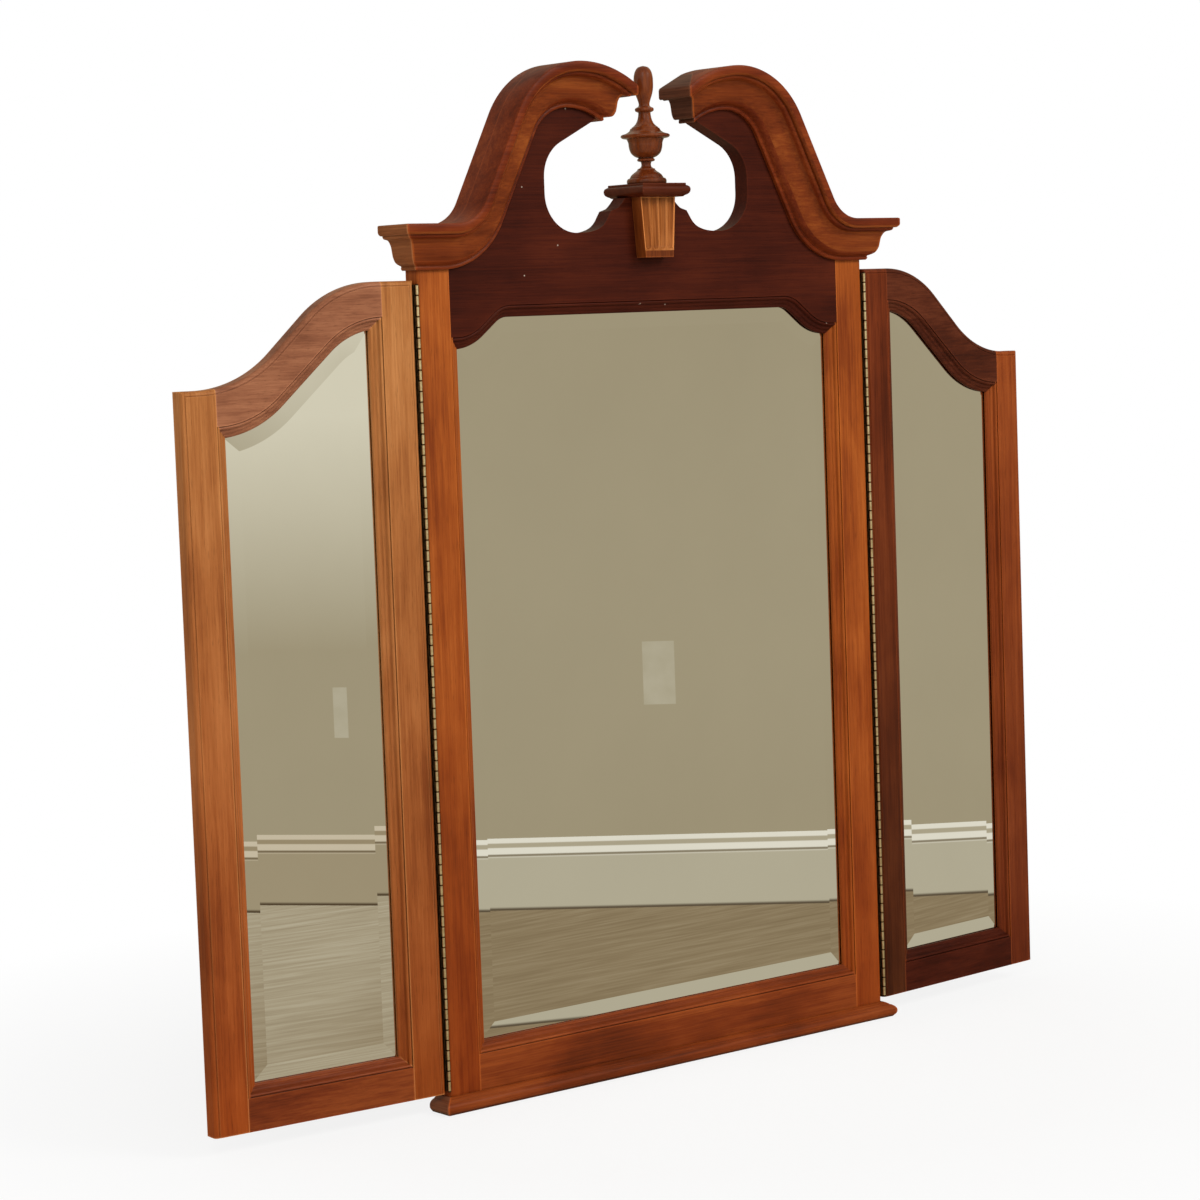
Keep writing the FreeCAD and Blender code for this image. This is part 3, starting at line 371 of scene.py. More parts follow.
def darker_foot(tree, colour, foot):
    """Let the colour take on the tint foot towards the bottom."""
    split = node(tree, "ShaderNodeSeparateXYZ", Vector=own_metres(tree))
    rise = ramp(tree, split.outputs["Z"], [(0.05, foot), (0.95, (1.0, 1.0, 1.0))])
    return mix(tree, 1.0, colour, rise, "MULTIPLY")


def nicked(tree, colour):
    """Small chips through the stain, one to each cell of a pattern on the front."""
    upright = node(tree, "ShaderNodeMapping", Vector=own_metres(tree), Rotation=(math.pi / 2, 0, 0))
    chips = node(tree, "ShaderNodeTexVoronoi", voronoi_dimensions="2D", Vector=upright.outputs["Vector"],
                 Scale=NICK_TURNS)
    return mix(tree, ramp(tree, chips.outputs["Distance"], [(0.007, 0.8), (0.012, 0.0)]), colour, BARE_WOOD)


def stain_wear_and_painted_light(tree, colour, light, crevice, wear_and_highlight):
    """Darken the hollows by the share crevice, for stain and painted shade, and lighten the edges by the
    last share, for worn wood and a painted highlight.
    """
    # Painted shade in the hollows, besides stain gathered there.
    hollow = node(tree, "ShaderNodeAmbientOcclusion", Distance=HOLLOW_REACH, samples=AO_SAMPLES)
    shade = ramp(tree, hollow.outputs["AO"], [(0.25, 1 - crevice), (0.85, 1.0)])
    colour = mix(tree, 1.0, colour, shade, "MULTIPLY")
    # Painted highlight on the edges, besides worn wood.
    edge = node(tree, "ShaderNodeAmbientOcclusion", Distance=EDGE_REACH, samples=AO_SAMPLES, inside=True,
                only_local=True)
    rubbed_and_highlight = ramp(tree, edge.outputs["AO"], [(0.45, wear_and_highlight), (0.88, 0.0)])
    return mix(tree, rubbed_and_highlight, colour, (*(min(1.0, c * RUBBED_AND_HIGHLIGHT_LIGHTER) for c in light), 1))


print("hollows are looked for within", HOLLOW_REACH / METRES, "mm, edges within", EDGE_REACH / METRES)


# %% The whole finish
COAT_ROUGHNESS, BUMP_STRENGTH, BUMP_HEIGHT = 0.14, 0.35, 0.00012
DULLER, BRIGHTER = 0.10, 0.04


def wood(name, tones, grain="z", foot=None, roughness=0.36, coat=0.04, shine=0.07, shift=0.0,
         crevice=0.6, wear_and_highlight=0.45, figure=0.5, nicks=False):
    """A lacquered wood in three tones, dark to light. shift moves to another place in the noise."""
    material, tree, shader = new_material(name)
    colour, fibres = figured(tree, tones, grain, shift, figure)
    if foot:
        colour = darker_foot(tree, colour, foot)
    if nicks:
        colour = nicked(tree, colour)
    colour = stain_wear_and_painted_light(tree, colour, tones[-1], crevice, wear_and_highlight)
    rough = ramp(tree, fibres, [(0.2, roughness + DULLER), (0.8, roughness - BRIGHTER)])
    bump = node(tree, "ShaderNodeBump", Height=fibres, Strength=BUMP_STRENGTH, Distance=BUMP_HEIGHT)
    put(tree, shader, Base_Color=colour, Roughness=rough, Specular_IOR_Level=shine, Coat_Weight=coat,
        Coat_Roughness=COAT_ROUGHNESS, Normal=bump.outputs["Normal"])
    return material


# %% [markdown]
# ## The woods of this mirror
# The boards came from different trees and took the stain differently. The stiles are golden red and darken
# towards the foot, and the pediment board is nearly black-red with small nicks. The crown's bead and cove
# get a lighter wood, as painted light. The left wing is golden and the right one a deep brown: partly their
# own woods, and partly a painted sheen on the left wing and painted shade on the right one. One finish for
# all would be simpler, but these differences are what makes it look old. The finial has the most lacquer.
# Strips and backboards are bare.

# %% The centre's woods
stile_wood = wood("cherry_stile", ((0.21, 0.038, 0.0055), (0.365, 0.083, 0.0115), (0.50, 0.135, 0.022)),
                  foot=(0.62, 0.43, 0.33))
bottom_rail_wood = wood("red_cherry_rail",
                        ((0.10, 0.018, 0.004), (0.195, 0.034, 0.006), (0.30, 0.065, 0.012)),
                        grain="x", shift=2.9)
board_wood = wood("dark_cherry_board",
                  ((0.035, 0.0055, 0.0028), (0.058, 0.0090, 0.0038), (0.088, 0.0145, 0.0052)),
                  grain="x", shine=0.05, coat=0.03, figure=0.4, crevice=0.5, wear_and_highlight=0.3, nicks=True)
crown_wood = wood("cherry_crown", ((0.085, 0.012, 0.0030), (0.165, 0.024, 0.0045), (0.255, 0.048, 0.0090)),
                  grain="x", shift=1.3, crevice=0.85, wear_and_highlight=0.35)
# Painted light: the lighter wood of the crown's bead, as a painted highlight, and of its cove.
lit_bead_and_cove_wood = wood("cherry_bead_and_cove_painted_light", ((0.11, 0.018, 0.0032), (0.200, 0.037, 0.0060), (0.31, 0.074, 0.012)),
                 grain="x", shift=1.9, crevice=0.85, wear_and_highlight=0.35)
return_wood = wood("cherry_return", ((0.15, 0.044, 0.012), (0.290, 0.092, 0.028), (0.42, 0.155, 0.052)),
                   grain="y", shift=2.3, crevice=0.7)
neck_end_wood = wood("cherry_neck_end", ((0.07, 0.020, 0.009), (0.145, 0.046, 0.021), (0.23, 0.078, 0.034)),
                     grain="y", shift=0.7, crevice=0.7, wear_and_highlight=0.3)
turned_wood = wood("cherry_turning", ((0.070, 0.011, 0.0025), (0.135, 0.024, 0.0045), (0.23, 0.050, 0.010)),
                   roughness=0.22, coat=0.50, shine=0.10, shift=4.4, crevice=0.8)
key_wood = wood("pale_cherry_key", ((0.15, 0.034, 0.006), (0.31, 0.090, 0.017), (0.52, 0.190, 0.052)),
                shift=6.1, crevice=0.9, wear_and_highlight=0.8)
key_foot_wood = wood("cherry_key_foot", ((0.10, 0.021, 0.005), (0.190, 0.042, 0.0080), (0.28, 0.070, 0.014)),
                     shift=6.7)
plate_wood = wood("dark_cherry_plate", ((0.034, 0.005, 0.0018), (0.068, 0.010, 0.0030), (0.11, 0.020, 0.006)),
                  grain="x", shift=7.7, roughness=0.28, coat=0.18)
raw_wood = wood("raw_strip", ((0.30, 0.19, 0.10), (0.42, 0.28, 0.16), (0.52, 0.37, 0.22)),
                roughness=0.7, coat=0.0, crevice=0.3, wear_and_highlight=0.0)
hardboard = wood("hardboard", ((0.16, 0.095, 0.05), (0.21, 0.13, 0.07), (0.26, 0.165, 0.095)), grain="x",
                 roughness=0.75, coat=0.0, crevice=0.3, wear_and_highlight=0.0, figure=0.2)

# %% The wings' woods
# Painted light: a painted sheen in the left wing's golden woods, painted shade in the right wing's dark ones.
GOLDEN = ((0.27, 0.082, 0.020), (0.43, 0.158, 0.043), (0.56, 0.235, 0.075))
ROSY = ((0.17, 0.055, 0.026), (0.285, 0.104, 0.050), (0.40, 0.160, 0.078))
REDDISH = ((0.10, 0.018, 0.005), (0.185, 0.034, 0.0078), (0.27, 0.060, 0.013))
DEEP_BROWN = ((0.075, 0.012, 0.003), (0.145, 0.024, 0.0050), (0.22, 0.042, 0.009))
WARM_BROWN = ((0.15, 0.026, 0.005), (0.250, 0.046, 0.0070), (0.35, 0.078, 0.014))
UMBER = ((0.038, 0.007, 0.003), (0.074, 0.014, 0.0050), (0.12, 0.027, 0.010))
DARK_RED = ((0.025, 0.003, 0.0012), (0.050, 0.0062, 0.0020), (0.08, 0.012, 0.004))
WING_WOODS = {
    "left": {"hinge_stile": wood("left_wing_inner_stile", GOLDEN, foot=(0.60, 0.32, 0.16), shift=3.1),
             "outer_stile": wood("left_wing_outer_stile", GOLDEN, foot=(0.68, 0.33, 0.15), shift=3.7),
             "top_rail": wood("left_wing_top_rail", ROSY, grain="x", shift=5.2),
             "bottom_rail": wood("left_wing_bottom_rail", REDDISH, grain="x", shift=5.9)},
    "right": {"hinge_stile": wood("right_wing_inner_stile", DEEP_BROWN, foot=(0.42, 0.55, 0.65), shift=8.3),
              "outer_stile": wood("right_wing_outer_stile", WARM_BROWN, foot=(0.50, 0.42, 0.55), shift=8.9),
              "top_rail": wood("right_wing_top_rail", UMBER, grain="x", shift=9.4),
              "bottom_rail": wood("right_wing_bottom_rail", DARK_RED, grain="x", shift=9.8)},
}
print("woods:", len(bpy.data.materials))

# %% [markdown]
# ## Metal and mirror
# The hinges' knuckles are pale brass that hands and cloths keep bright, and the leaves and pins are a dark
# brass, painted shade for the gap between the frames. A single metal colour would do from far off, but a film
# in patches makes it look handled.
# The glass is silvered at its back. Clear glass over silver could be built, but seen from the front it acts
# as one clean mirror, and a trace of haze keeps it from being perfect.

# %% Brass, steel and mirror


def filmed_metal(name, film_turns, film_detail, film_roughness, colours, roughness):
    """A metal whose colour and roughness change from patch to patch."""
    material, tree, shader = new_material(name)
    film = stretched_noise(tree, (film_turns,) * 3, film_detail, film_roughness)
    put(tree, shader, Base_Color=ramp(tree, film, colours), Roughness=ramp(tree, film, roughness), Metallic=1.0)
    return material


brass = filmed_metal("pale_brass", 160.0, 5, 0.65, [(0.35, (0.58, 0.46, 0.26)), (0.62, (0.88, 0.78, 0.52))],
                     [(0.3, 0.46), (0.7, 0.30)])
# Painted shade: a dark brass for the hinges' leaves and pins, where the gap between the frames is in shade.
gap_shade_brass = filmed_metal("gap_shade_brass", 220.0, 5, 0.65,
                          [(0.35, (0.035, 0.022, 0.012)), (0.62, (0.11, 0.075, 0.038))],
                          [(0.3, 0.62), (0.7, 0.48)])
steel = filmed_metal("plain_steel", 400.0, 5, 0.65, [(0.35, (0.30, 0.29, 0.28)), (0.62, (0.62, 0.61, 0.60))],
                     [(0.3, 0.45), (0.7, 0.28)])
silvered = filmed_metal("silvered_glass", 5, 4, 0.6, [(0.3, (0.87, 0.865, 0.85)), (0.7, (0.90, 0.895, 0.88))],
                        [(0.4, 0.004), (0.8, 0.012)])
print("finishes:", len(bpy.data.materials))

# %% [markdown]
# ## Framed members
# A stile or rail is a flat board whose outline has different edges: a moulded one at the glass, a rounded one
# outside, and plain joints where it meets the next member. Each edge is a line with a section that starts on
# the front face and ends on the back. A Bevel modifier would give every edge the same shape, so the board is
# closed from its own edges instead, and plain walls fill the gaps between them.

# %% Sections of the edges
SIGHT_WIDTH, SIGHT_DEPTH, LIP = 14.5, 12.0, 7.5
SIGHT_SHARES = [
    (0.0, 0.0), (0.0, 0.13), (0.03, 0.15), (0.06, 0.10), (0.10, 0.06), (0.16, 0.045), (0.22, 0.07),
    (0.28, 0.14), (0.30, 0.21), (0.32, 0.33), (0.36, 0.38), (0.42, 0.385), (0.50, 0.40), (0.58, 0.44),
    (0.64, 0.50), (0.66, 0.55), (0.70, 0.56), (0.74, 0.60), (0.80, 0.60), (0.88, 0.635), (0.95, 0.69),
    (1.0, 0.77), (1.0, 1.0),
]
ARRIS_ROUND, ARRIS_STEPS = 4.0, 6
WING_ROUND, WING_ROUND_CENTRE, WING_ROUND_STEPS = 4.8, 5.0, 8
SCORED_LINE = [(6.6, 0.0), (6.3, 0.7), (5.7, 0.9), (5.2, 0.45)]


def plain_section(back):
    return [(0.0, FRONT), (0.0, back)]


def sight_section(back):
    """The moulding stands out to the left of the line, over the glass."""
    shaped = [(-a * SIGHT_WIDTH, FRONT + d * SIGHT_DEPTH) for a, d in SIGHT_SHARES]
    return shaped + [(-LIP, GLASS_FRONT), (-LIP, back)]


def quarter_round(radius, centre_y, steps):
    """A rounded corner, from the front face to the side."""
    angles = [k * math.pi / (2 * steps) for k in range(steps + 1)]
    return [(radius - radius * math.sin(a), centre_y - radius * math.cos(a)) for a in angles]


def round_section(back):
    return quarter_round(ARRIS_ROUND, FRONT + ARRIS_ROUND, ARRIS_STEPS) + [(0.0, back)]


def beaded_section(back):
    """A fine scored line, and then the rounded edge of a wing."""
    scored = [(a, FRONT + d) for a, d in SCORED_LINE]
    return scored + quarter_round(WING_ROUND, FRONT + WING_ROUND_CENTRE, WING_ROUND_STEPS) + [(0.0, back)]


print("points in the moulding at the glass:", len(sight_section(BACK)))

# %% Close a board from its edges
MITRE_UP, MITRE_DOWN = (1.0, 1.0), (1.0, -1.0)
RUN_PARTS = 2


def along(start, end):
    """A straight run, with a point at its middle."""
    return [(start[0] + (end[0] - start[0]) * i / RUN_PARTS, start[1] + (end[1] - start[1]) * i / RUN_PARTS)
            for i in range(RUN_PARTS + 1)]


def member(runs, back, paints=None):
    """The closed board whose outline is the given runs: a line, its section, and its end cuts if it has any."""
    piece = Piece()
    front, rear, borders = [], [], []
    for i, (points, section, *cuts) in enumerate(runs):
        if len(points) == 1:
            rows = [[(points[0][0], y, points[0][1]) for _, y in section]]
        else:
            rows = sweep(points, section, *cuts)
            piece.skin(rows, paints[i] if paints else 0)
        ends = [rows[0], rows[-1]]
        if any(a < 0 for a, _ in section):
            # This section stands out over the glass, so its two ends are closed with faces of their own.
            posts = [[(x, FRONT, z), (x, back, z)] for x, z in (points[0], points[-1])]
            for end, post in zip(ends, posts):
                piece.face(end + [post[1]])
            rear += [posts[0][1]] + [row[-1] for row in rows] + [posts[1][1]]
            ends = posts
        else:
            rear += [row[-1] for row in rows]
        front += [row[0] for row in rows]
        borders.append(ends)
    for (_, last), (first, _) in zip(borders, borders[1:] + borders[:1]):
        if math.dist(last[-1], first[-1]) > WELD:
            piece.face(last + first[::-1])
    return piece.face(front).face(rear)


# %% [markdown]
# ## Centre frame
# The stiles are 46 mm wide with a small round on the outer arris. The bottom rail stands between them, and
# its moulding meets theirs in a mitre at each corner. One ring for the whole frame would be easier to sweep,
# but the joints and the change of grain at them are what shows that it is joinery.

# %% Stiles and bottom rail
sight, plain = sight_section(BACK), plain_section(BACK)
for side in SIDES:
    stile = member([
        ([(SIGHT_X, 0.0)], plain),
        (along((SIGHT_X, SILL_Z), (SIGHT_X, CORNER_Z)), sight, MITRE_UP, MITRE_DOWN),
        ([(SIGHT_X, RUN_Z)], plain),
        (along((SIDE, RUN_Z), (SIDE, 0.0)), round_section(BACK)),
    ], BACK)
    stile.place("stile_shaped_" + side, "centre_frame", "light_wood", [stile_wood], ["stile_" + side], side)


def bottom_rail_runs(x0, x1, foot_z, back):
    """The edges of a straight rail under the glass."""
    return [
        ([(x0, foot_z)], plain_section(back)),
        (along((x0, SILL_Z), (x1, SILL_Z)), sight_section(back), MITRE_UP, MITRE_DOWN),
        ([(x1, foot_z)], plain_section(back)),
    ]


rail = member(bottom_rail_runs(-SIGHT_X, SIGHT_X, 0.0, BACK), BACK)
rail.place("bottom_rail_shaped", "centre_frame", "red_wood", [bottom_rail_wood], ["bottom_rail"])

# %% [markdown]
# ## Pediment board
# One shaped board, 24 mm thick. Its top follows the crown's arches, two round cut-outs leave a cusp in the
# middle for the keystone, and its lower edge carries the glass moulding through two ogees. Boolean cuts could
# open the cut-outs. They are drawn as part of the outline instead, which keeps the mesh even along their
# edges.

# %% The crown's line and the board's top
NECK_X, PEAK = 80.0, (129.0, 1272.0)
NECK_RADIUS, SHOULDER_RADIUS, FOOT_RADIUS, FOOT_X = 150.0, 112.0, 48.0, 326.0
NECK_CENTRE = (PEAK[0], PEAK[1] - NECK_RADIUS)
crown_flow = s_curve(PEAK, SHOULDER_RADIUS, (FOOT_X, RUN_Z), FOOT_RADIUS)
board_top = arc(NECK_CENTRE, NECK_RADIUS, math.acos((NECK_X - PEAK[0]) / NECK_RADIUS), math.pi / 2)
board_top += [p for p in crown_flow[1:] if p[0] < SIGHT_X]
foot_rise = FOOT_RADIUS - math.sqrt(FOOT_RADIUS ** 2 - (FOOT_X - SIGHT_X) ** 2)
board_top.append((SIGHT_X, RUN_Z + foot_rise))
print("points along half of the board's top:", len(board_top))

# %% A smooth curve through points
CURVE_STEPS = 5


def flowing(points):
    """A smooth curve through the points."""
    if len(points) < 3:
        return list(points)
    smooth = []
    for i in range(len(points) - 1):
        p0, p1 = points[max(i - 1, 0)], points[i]
        p2, p3 = points[i + 1], points[min(i + 2, len(points) - 1)]
        for k in range(CURVE_STEPS):
            t = k / CURVE_STEPS
            smooth.append(tuple(
                0.5 * (2 * b + (c - a) * t + (2 * a - 5 * b + 4 * c - d) * t ** 2
                       + (3 * b - a - 3 * c + d) * t ** 3)
                for a, b, c, d in zip(p0, p1, p2, p3)))
    return smooth + [points[-1]]


print("points in a smooth curve through three:", len(flowing([(0, 0), (1, 1), (2, 0)])))

# %% The cut-out's line
CUSP_TOP_Z = 1107.0
LOBE_X, LOBE_RADIUS, LOBE_LOW_Z, LOBE_HIGH_Z = 117.0, 48.5, 1113.0, 1132.0
LOBE_SLOPE, LOBE_TURN, NOSE_RADIUS = 0.5, math.radians(95), 14.0
CUSP_ARRIS = (61.5, 1091.0)
HOLLOW = [(104.0, 1064.7), (97.0, 1065.4), (90.0, 1066.7), (81.7, 1069.4), (75.0, 1073.3), (69.7, 1078.7),
          (65.5, 1085.0), CUSP_ARRIS]
CUSP = [CUSP_ARRIS, (57.0, 1092.3), (51.0, 1094.4), (46.6, 1098.0), (42.6, 1102.0), (38.0, CUSP_TOP_Z)]


def cut_out_line():
    """From under the crown's inner end, round the lobe, to the cusp's top."""
    slope = math.atan(LOBE_SLOPE)
    upper = (LOBE_X + LOBE_RADIUS * math.cos(math.pi / 2 - slope),
             LOBE_HIGH_Z + LOBE_RADIUS * math.sin(math.pi / 2 - slope))
    nose_x = NECK_X + NOSE_RADIUS
    nose_end_x = nose_x - NOSE_RADIUS * math.sin(slope)
    nose_end_z = upper[1] + (upper[0] - nose_end_x) * LOBE_SLOPE
    nose = (nose_x, nose_end_z + NOSE_RADIUS * math.cos(slope))
    line = arc(nose, NOSE_RADIUS, math.pi, 3 * math.pi / 2 - slope)
    line += arc((LOBE_X, LOBE_HIGH_Z), LOBE_RADIUS, math.pi / 2 - slope, 0)
    line += arc((LOBE_X, LOBE_LOW_Z), LOBE_RADIUS, 0, -LOBE_TURN)
    line += flowing([line[-1]] + HOLLOW)[1:]
    return line + flowing(CUSP)[1:]


cut_out = cut_out_line()
print("points round a cut-out:", len(cut_out))

# %% The board
BOARD_PAINT, CROWN_PAINT = 0, 1
board_runs = [
    (mirrored(board_top), plain),
    (mirrored(cut_out[::-1]), plain),
    (cut_out[::-1], plain),
    (board_top, plain),
    (CENTRE_HEAD[::-1], sight, MITRE_UP, MITRE_DOWN),
]
board = member(board_runs, BACK, paints=[CROWN_PAINT, BOARD_PAINT, BOARD_PAINT, CROWN_PAINT, BOARD_PAINT])
board.place("pediment_board_shaped", "centre_frame", "dark_wood", [board_wood, crown_wood],
            ["pediment_board"])

# %% [markdown]
# ## Crown moulding
# The swan necks are the hardest part: one deep moulding that rises from a level run, turns over an arch and
# ends beside the finial. The section is drawn in shares of its height and projection. A sweep that is cut off
# afterwards would leave long thin triangles at the mitres. So the rows near the neck are fanned out instead:
# the mitre plane stands at 45 degrees, and each point of the section reaches it at its own place along the
# arch.

# %% The crown's section
CROWN_HEIGHT, CROWN_OUT = 54.0, 38.0
CROWN_SHARES = [
    (0.0, 0.0), (0.0, 0.95), (0.010, 0.985), (0.030, 1.0), (0.155, 1.0), (0.185, 0.985), (0.210, 0.955),
    (0.230, 0.920), (0.235, 0.870), (0.230, 0.830), (0.250, 0.830), (0.280, 0.815), (0.300, 0.785),
    (0.310, 0.745), (0.315, 0.700), (0.325, 0.650), (0.345, 0.610), (0.380, 0.575), (0.430, 0.540),
    (0.490, 0.512), (0.560, 0.495), (0.630, 0.480), (0.700, 0.460), (0.760, 0.425), (0.800, 0.395),
    (0.830, 0.360), (0.860, 0.300), (0.885, 0.225), (0.900, 0.170), (0.915, 0.155), (0.930, 0.165),
    (0.955, 0.170), (0.980, 0.155), (1.0, 0.125), (1.0, 0.0),
]
# Where the crown's bead and cove get the lighter wood of painted light, in shares of its height.
LIT_SPANS = ((0.18, 0.24), (0.33, 0.80))
EDGE_PAINT, LIT_PAINT = 0, 1
crown_section = [(d * CROWN_HEIGHT, o * CROWN_OUT) for d, o in CROWN_SHARES]


def crown_paint(down):
    """Bead and cove get a lighter wood: a painted highlight on the bead, painted light on the cove."""
    return LIT_PAINT if any(low < down < high for low, high in LIT_SPANS) else EDGE_PAINT


crown_paints = [crown_paint((a[0] + b[0]) / 2) for a, b in zip(CROWN_SHARES, CROWN_SHARES[1:])]
print("pale strips in the crown:", crown_paints.count(LIT_PAINT), "of", len(crown_paints))

# %% Rows along the crown
NECK_ROWS = 26


def neck_row(share):
    """The section on the arch, with share 0 on the mitre beside the finial and 1 at the peak."""
    row = []
    for down, out in crown_section:
        radius = NECK_RADIUS - down
        start = math.acos(max(-1.0, (NECK_X - out - PEAK[0]) / radius))
        angle = start + (math.pi / 2 - start) * share
        row.append((NECK_CENTRE[0] + radius * math.cos(angle), FRONT - out,
                    NECK_CENTRE[1] + radius * math.sin(angle)))
    return row


crown_rows = [neck_row(i / NECK_ROWS) for i in range(NECK_ROWS + 1)]
crown_rows += sweep(crown_flow, [(down, FRONT - out) for down, out in crown_section])[1:]
crown_rows.append([(SIDE + out, FRONT - out, RUN_Z - down) for down, out in crown_section])
print("crown rows:", len(crown_rows))

# %% Crowns and their returns


def moulding(rows, paint=0):
    """A closed bar with a section that starts and ends on its flat back."""
    bar = Piece().skin(rows, paint).face(rows[0]).face(rows[-1])
    return bar.skin([[row[-1], row[0]] for row in rows])


def side_return(mitre):
    """The moulding from a mitre straight to the back."""
    return moulding([mitre, [(x, BACK, z) for x, _, z in mitre]])


for side in SIDES:
    moulding(crown_rows, crown_paints).place(
        "crown_moulding_" + side, "centre_frame", "crown_wood", [crown_wood, lit_bead_and_cove_wood],
        ["crown_" + side], side)
    for end, mitre, finish in (("outer", crown_rows[-1], return_wood), ("inner", crown_rows[0], neck_end_wood)):
        side_return(mitre).place(
            "crown_%s_return_shaped_%s" % (end, side), "centre_frame", "crown_wood", [finish],
            ["crown_%s_return_%s" % (end, side)], side)

# %% [markdown]
# ## Finial
# The finial is turned in one piece: an egg over a collar, an urn with a wide brim, and a foot. A Screw
# modifier could turn the outline. It is skinned directly instead, like the other pieces. The outline is drawn
# as smooth stretches with crisp corners between them, as a turner cuts it.

# %% Finial
FINIAL_Y, PLATE_TOP_Z = -9.0, 1124.0
FINIAL_RADIUS, FINIAL_HEIGHT, FINIAL_SIDES = 31.0, 147.5, 64
FINIAL_STRETCHES = [
    [(0.76, 0.0), (0.80, 0.008), (0.81, 0.022), (0.80, 0.036), (0.76, 0.047), (0.71, 0.051)],
    [(0.68, 0.054), (0.675, 0.061)],
    [(0.66, 0.064), (0.61, 0.080), (0.51, 0.097), (0.42, 0.110), (0.37, 0.120)],
    [(0.36, 0.122), (0.355, 0.130)],
    [(0.30, 0.133), (0.215, 0.148), (0.195, 0.168), (0.22, 0.190)],
    [(0.29, 0.192), (0.345, 0.197), (0.36, 0.206), (0.345, 0.214), (0.31, 0.219)],
    [(0.31, 0.223), (0.45, 0.235), (0.585, 0.260), (0.655, 0.292), (0.684, 0.322), (0.70, 0.352),
     (0.76, 0.384)],
    [(0.80, 0.387), (0.90, 0.389), (0.97, 0.396), (1.0, 0.406), (0.98, 0.417), (0.93, 0.423)],
    [(0.93, 0.423), (0.78, 0.432), (0.65, 0.450), (0.59, 0.472)],
    [(0.545, 0.475), (0.53, 0.483)],
    [(0.50, 0.485), (0.37, 0.512), (0.29, 0.548), (0.255, 0.585), (0.25, 0.606)],
    [(0.30, 0.611), (0.36, 0.617), (0.385, 0.630), (0.365, 0.643), (0.29, 0.651)],
    [(0.235, 0.660), (0.22, 0.680), (0.265, 0.715), (0.34, 0.762), (0.385, 0.812), (0.394, 0.866),
     (0.38, 0.915), (0.32, 0.958), (0.20, 0.988), (0.0, 1.0)],
]


def turned(piece, centre, outline, sides, paint=0):
    """Add a turning about an upright line. The outline is in (radius, height)."""
    rows = []
    for i in range(sides + 1):
        a = 2 * math.pi * i / sides
        rows.append([(centre[0] + r * math.cos(a), centre[1] + r * math.sin(a), centre[2] + h)
                     for r, h in outline])
    return piece.skin(rows, paint)


finial_outline = [(0.0, 0.0)]
for part in FINIAL_STRETCHES:
    finial_outline += [(max(r, 0.0) * FINIAL_RADIUS, h * FINIAL_HEIGHT) for r, h in flowing(part)]
finial = turned(Piece(), (0.0, FINIAL_Y, PLATE_TOP_Z), finial_outline, FINIAL_SIDES)
finial.place("finial_turned", "centre_frame", "red_wood", [turned_wood], ["finial"])

# %% [markdown]
# ## Cap plate
# The square plate under the finial has the same moulded edge on four sides. A cube with bevelled edges would
# miss the small step under its top, so square rows are stacked, each as wide as the moulding is at its
# height.

# %% Cap plate
PLATE_HALF, PLATE_THICK, PLATE_SHARP = 39.0, 17.0, math.radians(24)
SQUARE = ((-1, -1), (1, -1), (1, 1), (-1, 1), (-1, -1))
PLATE_EDGE = [(0.80, 0.0), (0.83, 0.02), (0.86, 0.09), (0.91, 0.14), (0.96, 0.23), (0.99, 0.36), (1.0, 0.50),
              (0.995, 0.62), (0.97, 0.74), (0.92, 0.82), (0.895, 0.84), (0.895, 0.96), (0.885, 1.0)]
plate_rows = []
for share, rise in PLATE_EDGE:
    half = share * PLATE_HALF
    z = CUSP_TOP_Z + rise * PLATE_THICK
    plate_rows.append([(x * half, FINIAL_Y + y * half, z) for x, y in SQUARE])
plate = Piece().skin(plate_rows).face(plate_rows[0][:-1]).face(plate_rows[-1][:-1])
plate.place("cap_plate_moulded", "centre_frame", "dark_wood", [plate_wood], ["cap_plate"], sharp=PLATE_SHARP)

# %% [markdown]
# ## Keystone
# A tapered block with four flutes that end in round hollows above a plain foot. Cutting them with round bars
# and a Boolean would leave ragged faces, and a bump would stay flat at the edges. So the front is a fine
# grid, and each of its points is pushed back by the depth of the flute there.

# %% Keystone's front
KEY_FRONT, KEY_TOP_HALF, KEY_FOOT_HALF, KEY_HEIGHT = -30.0, 28.0, 22.5, 75.0
FLUTE_RADIUS, FLUTE_DEPTH, KEY_FOOT = 6.1, 3.3, 8.5
FLUTE_SHARES = (-0.75, -0.25, 0.25, 0.75)
KEY_COLUMNS, KEY_ROWS = 84, 90


def key_half(rise):
    """Half of the keystone's width at rise above its foot."""
    return KEY_FOOT_HALF + (KEY_TOP_HALF - KEY_FOOT_HALF) * rise / KEY_HEIGHT


def flute_hollow(x, rise):
    """How deep the front is cut at x and rise."""
    half = key_half(rise)
    radius = FLUTE_RADIUS * half / KEY_TOP_HALF
    below = max(0.0, KEY_FOOT + FLUTE_RADIUS - rise)
    deepest = 0.0
    for share in FLUTE_SHARES:
        away = math.hypot(x - share * half, below)
        if away < radius:
            deepest = max(deepest, math.sqrt(radius ** 2 - away ** 2) - (radius - FLUTE_DEPTH))
    return deepest


key_rows = []
for j in range(KEY_ROWS + 1):
    rise = KEY_HEIGHT * j / KEY_ROWS
    z = CUSP_TOP_Z - KEY_HEIGHT + rise
    columns = [key_half(rise) * (2 * i / KEY_COLUMNS - 1) for i in range(KEY_COLUMNS + 1)]
    key_rows.append([(x, KEY_FRONT + flute_hollow(x, rise), z) for x in columns])
print("points on the keystone's front:", len(key_rows) * len(key_rows[0]))

# %% Keystone's other faces
KEY_SHARP = math.radians(40)
FLUTED, FOOT_AND_SIDES = 0, 1


def fan(piece, points, paint):
    """A flat face with many points along its edges, as triangles round its middle."""
    middle = [(min(values) + max(values)) / 2 for values in zip(*points)]
    for a, b in zip(points, points[1:] + points[:1]):
        piece.face([a, b, middle], paint)


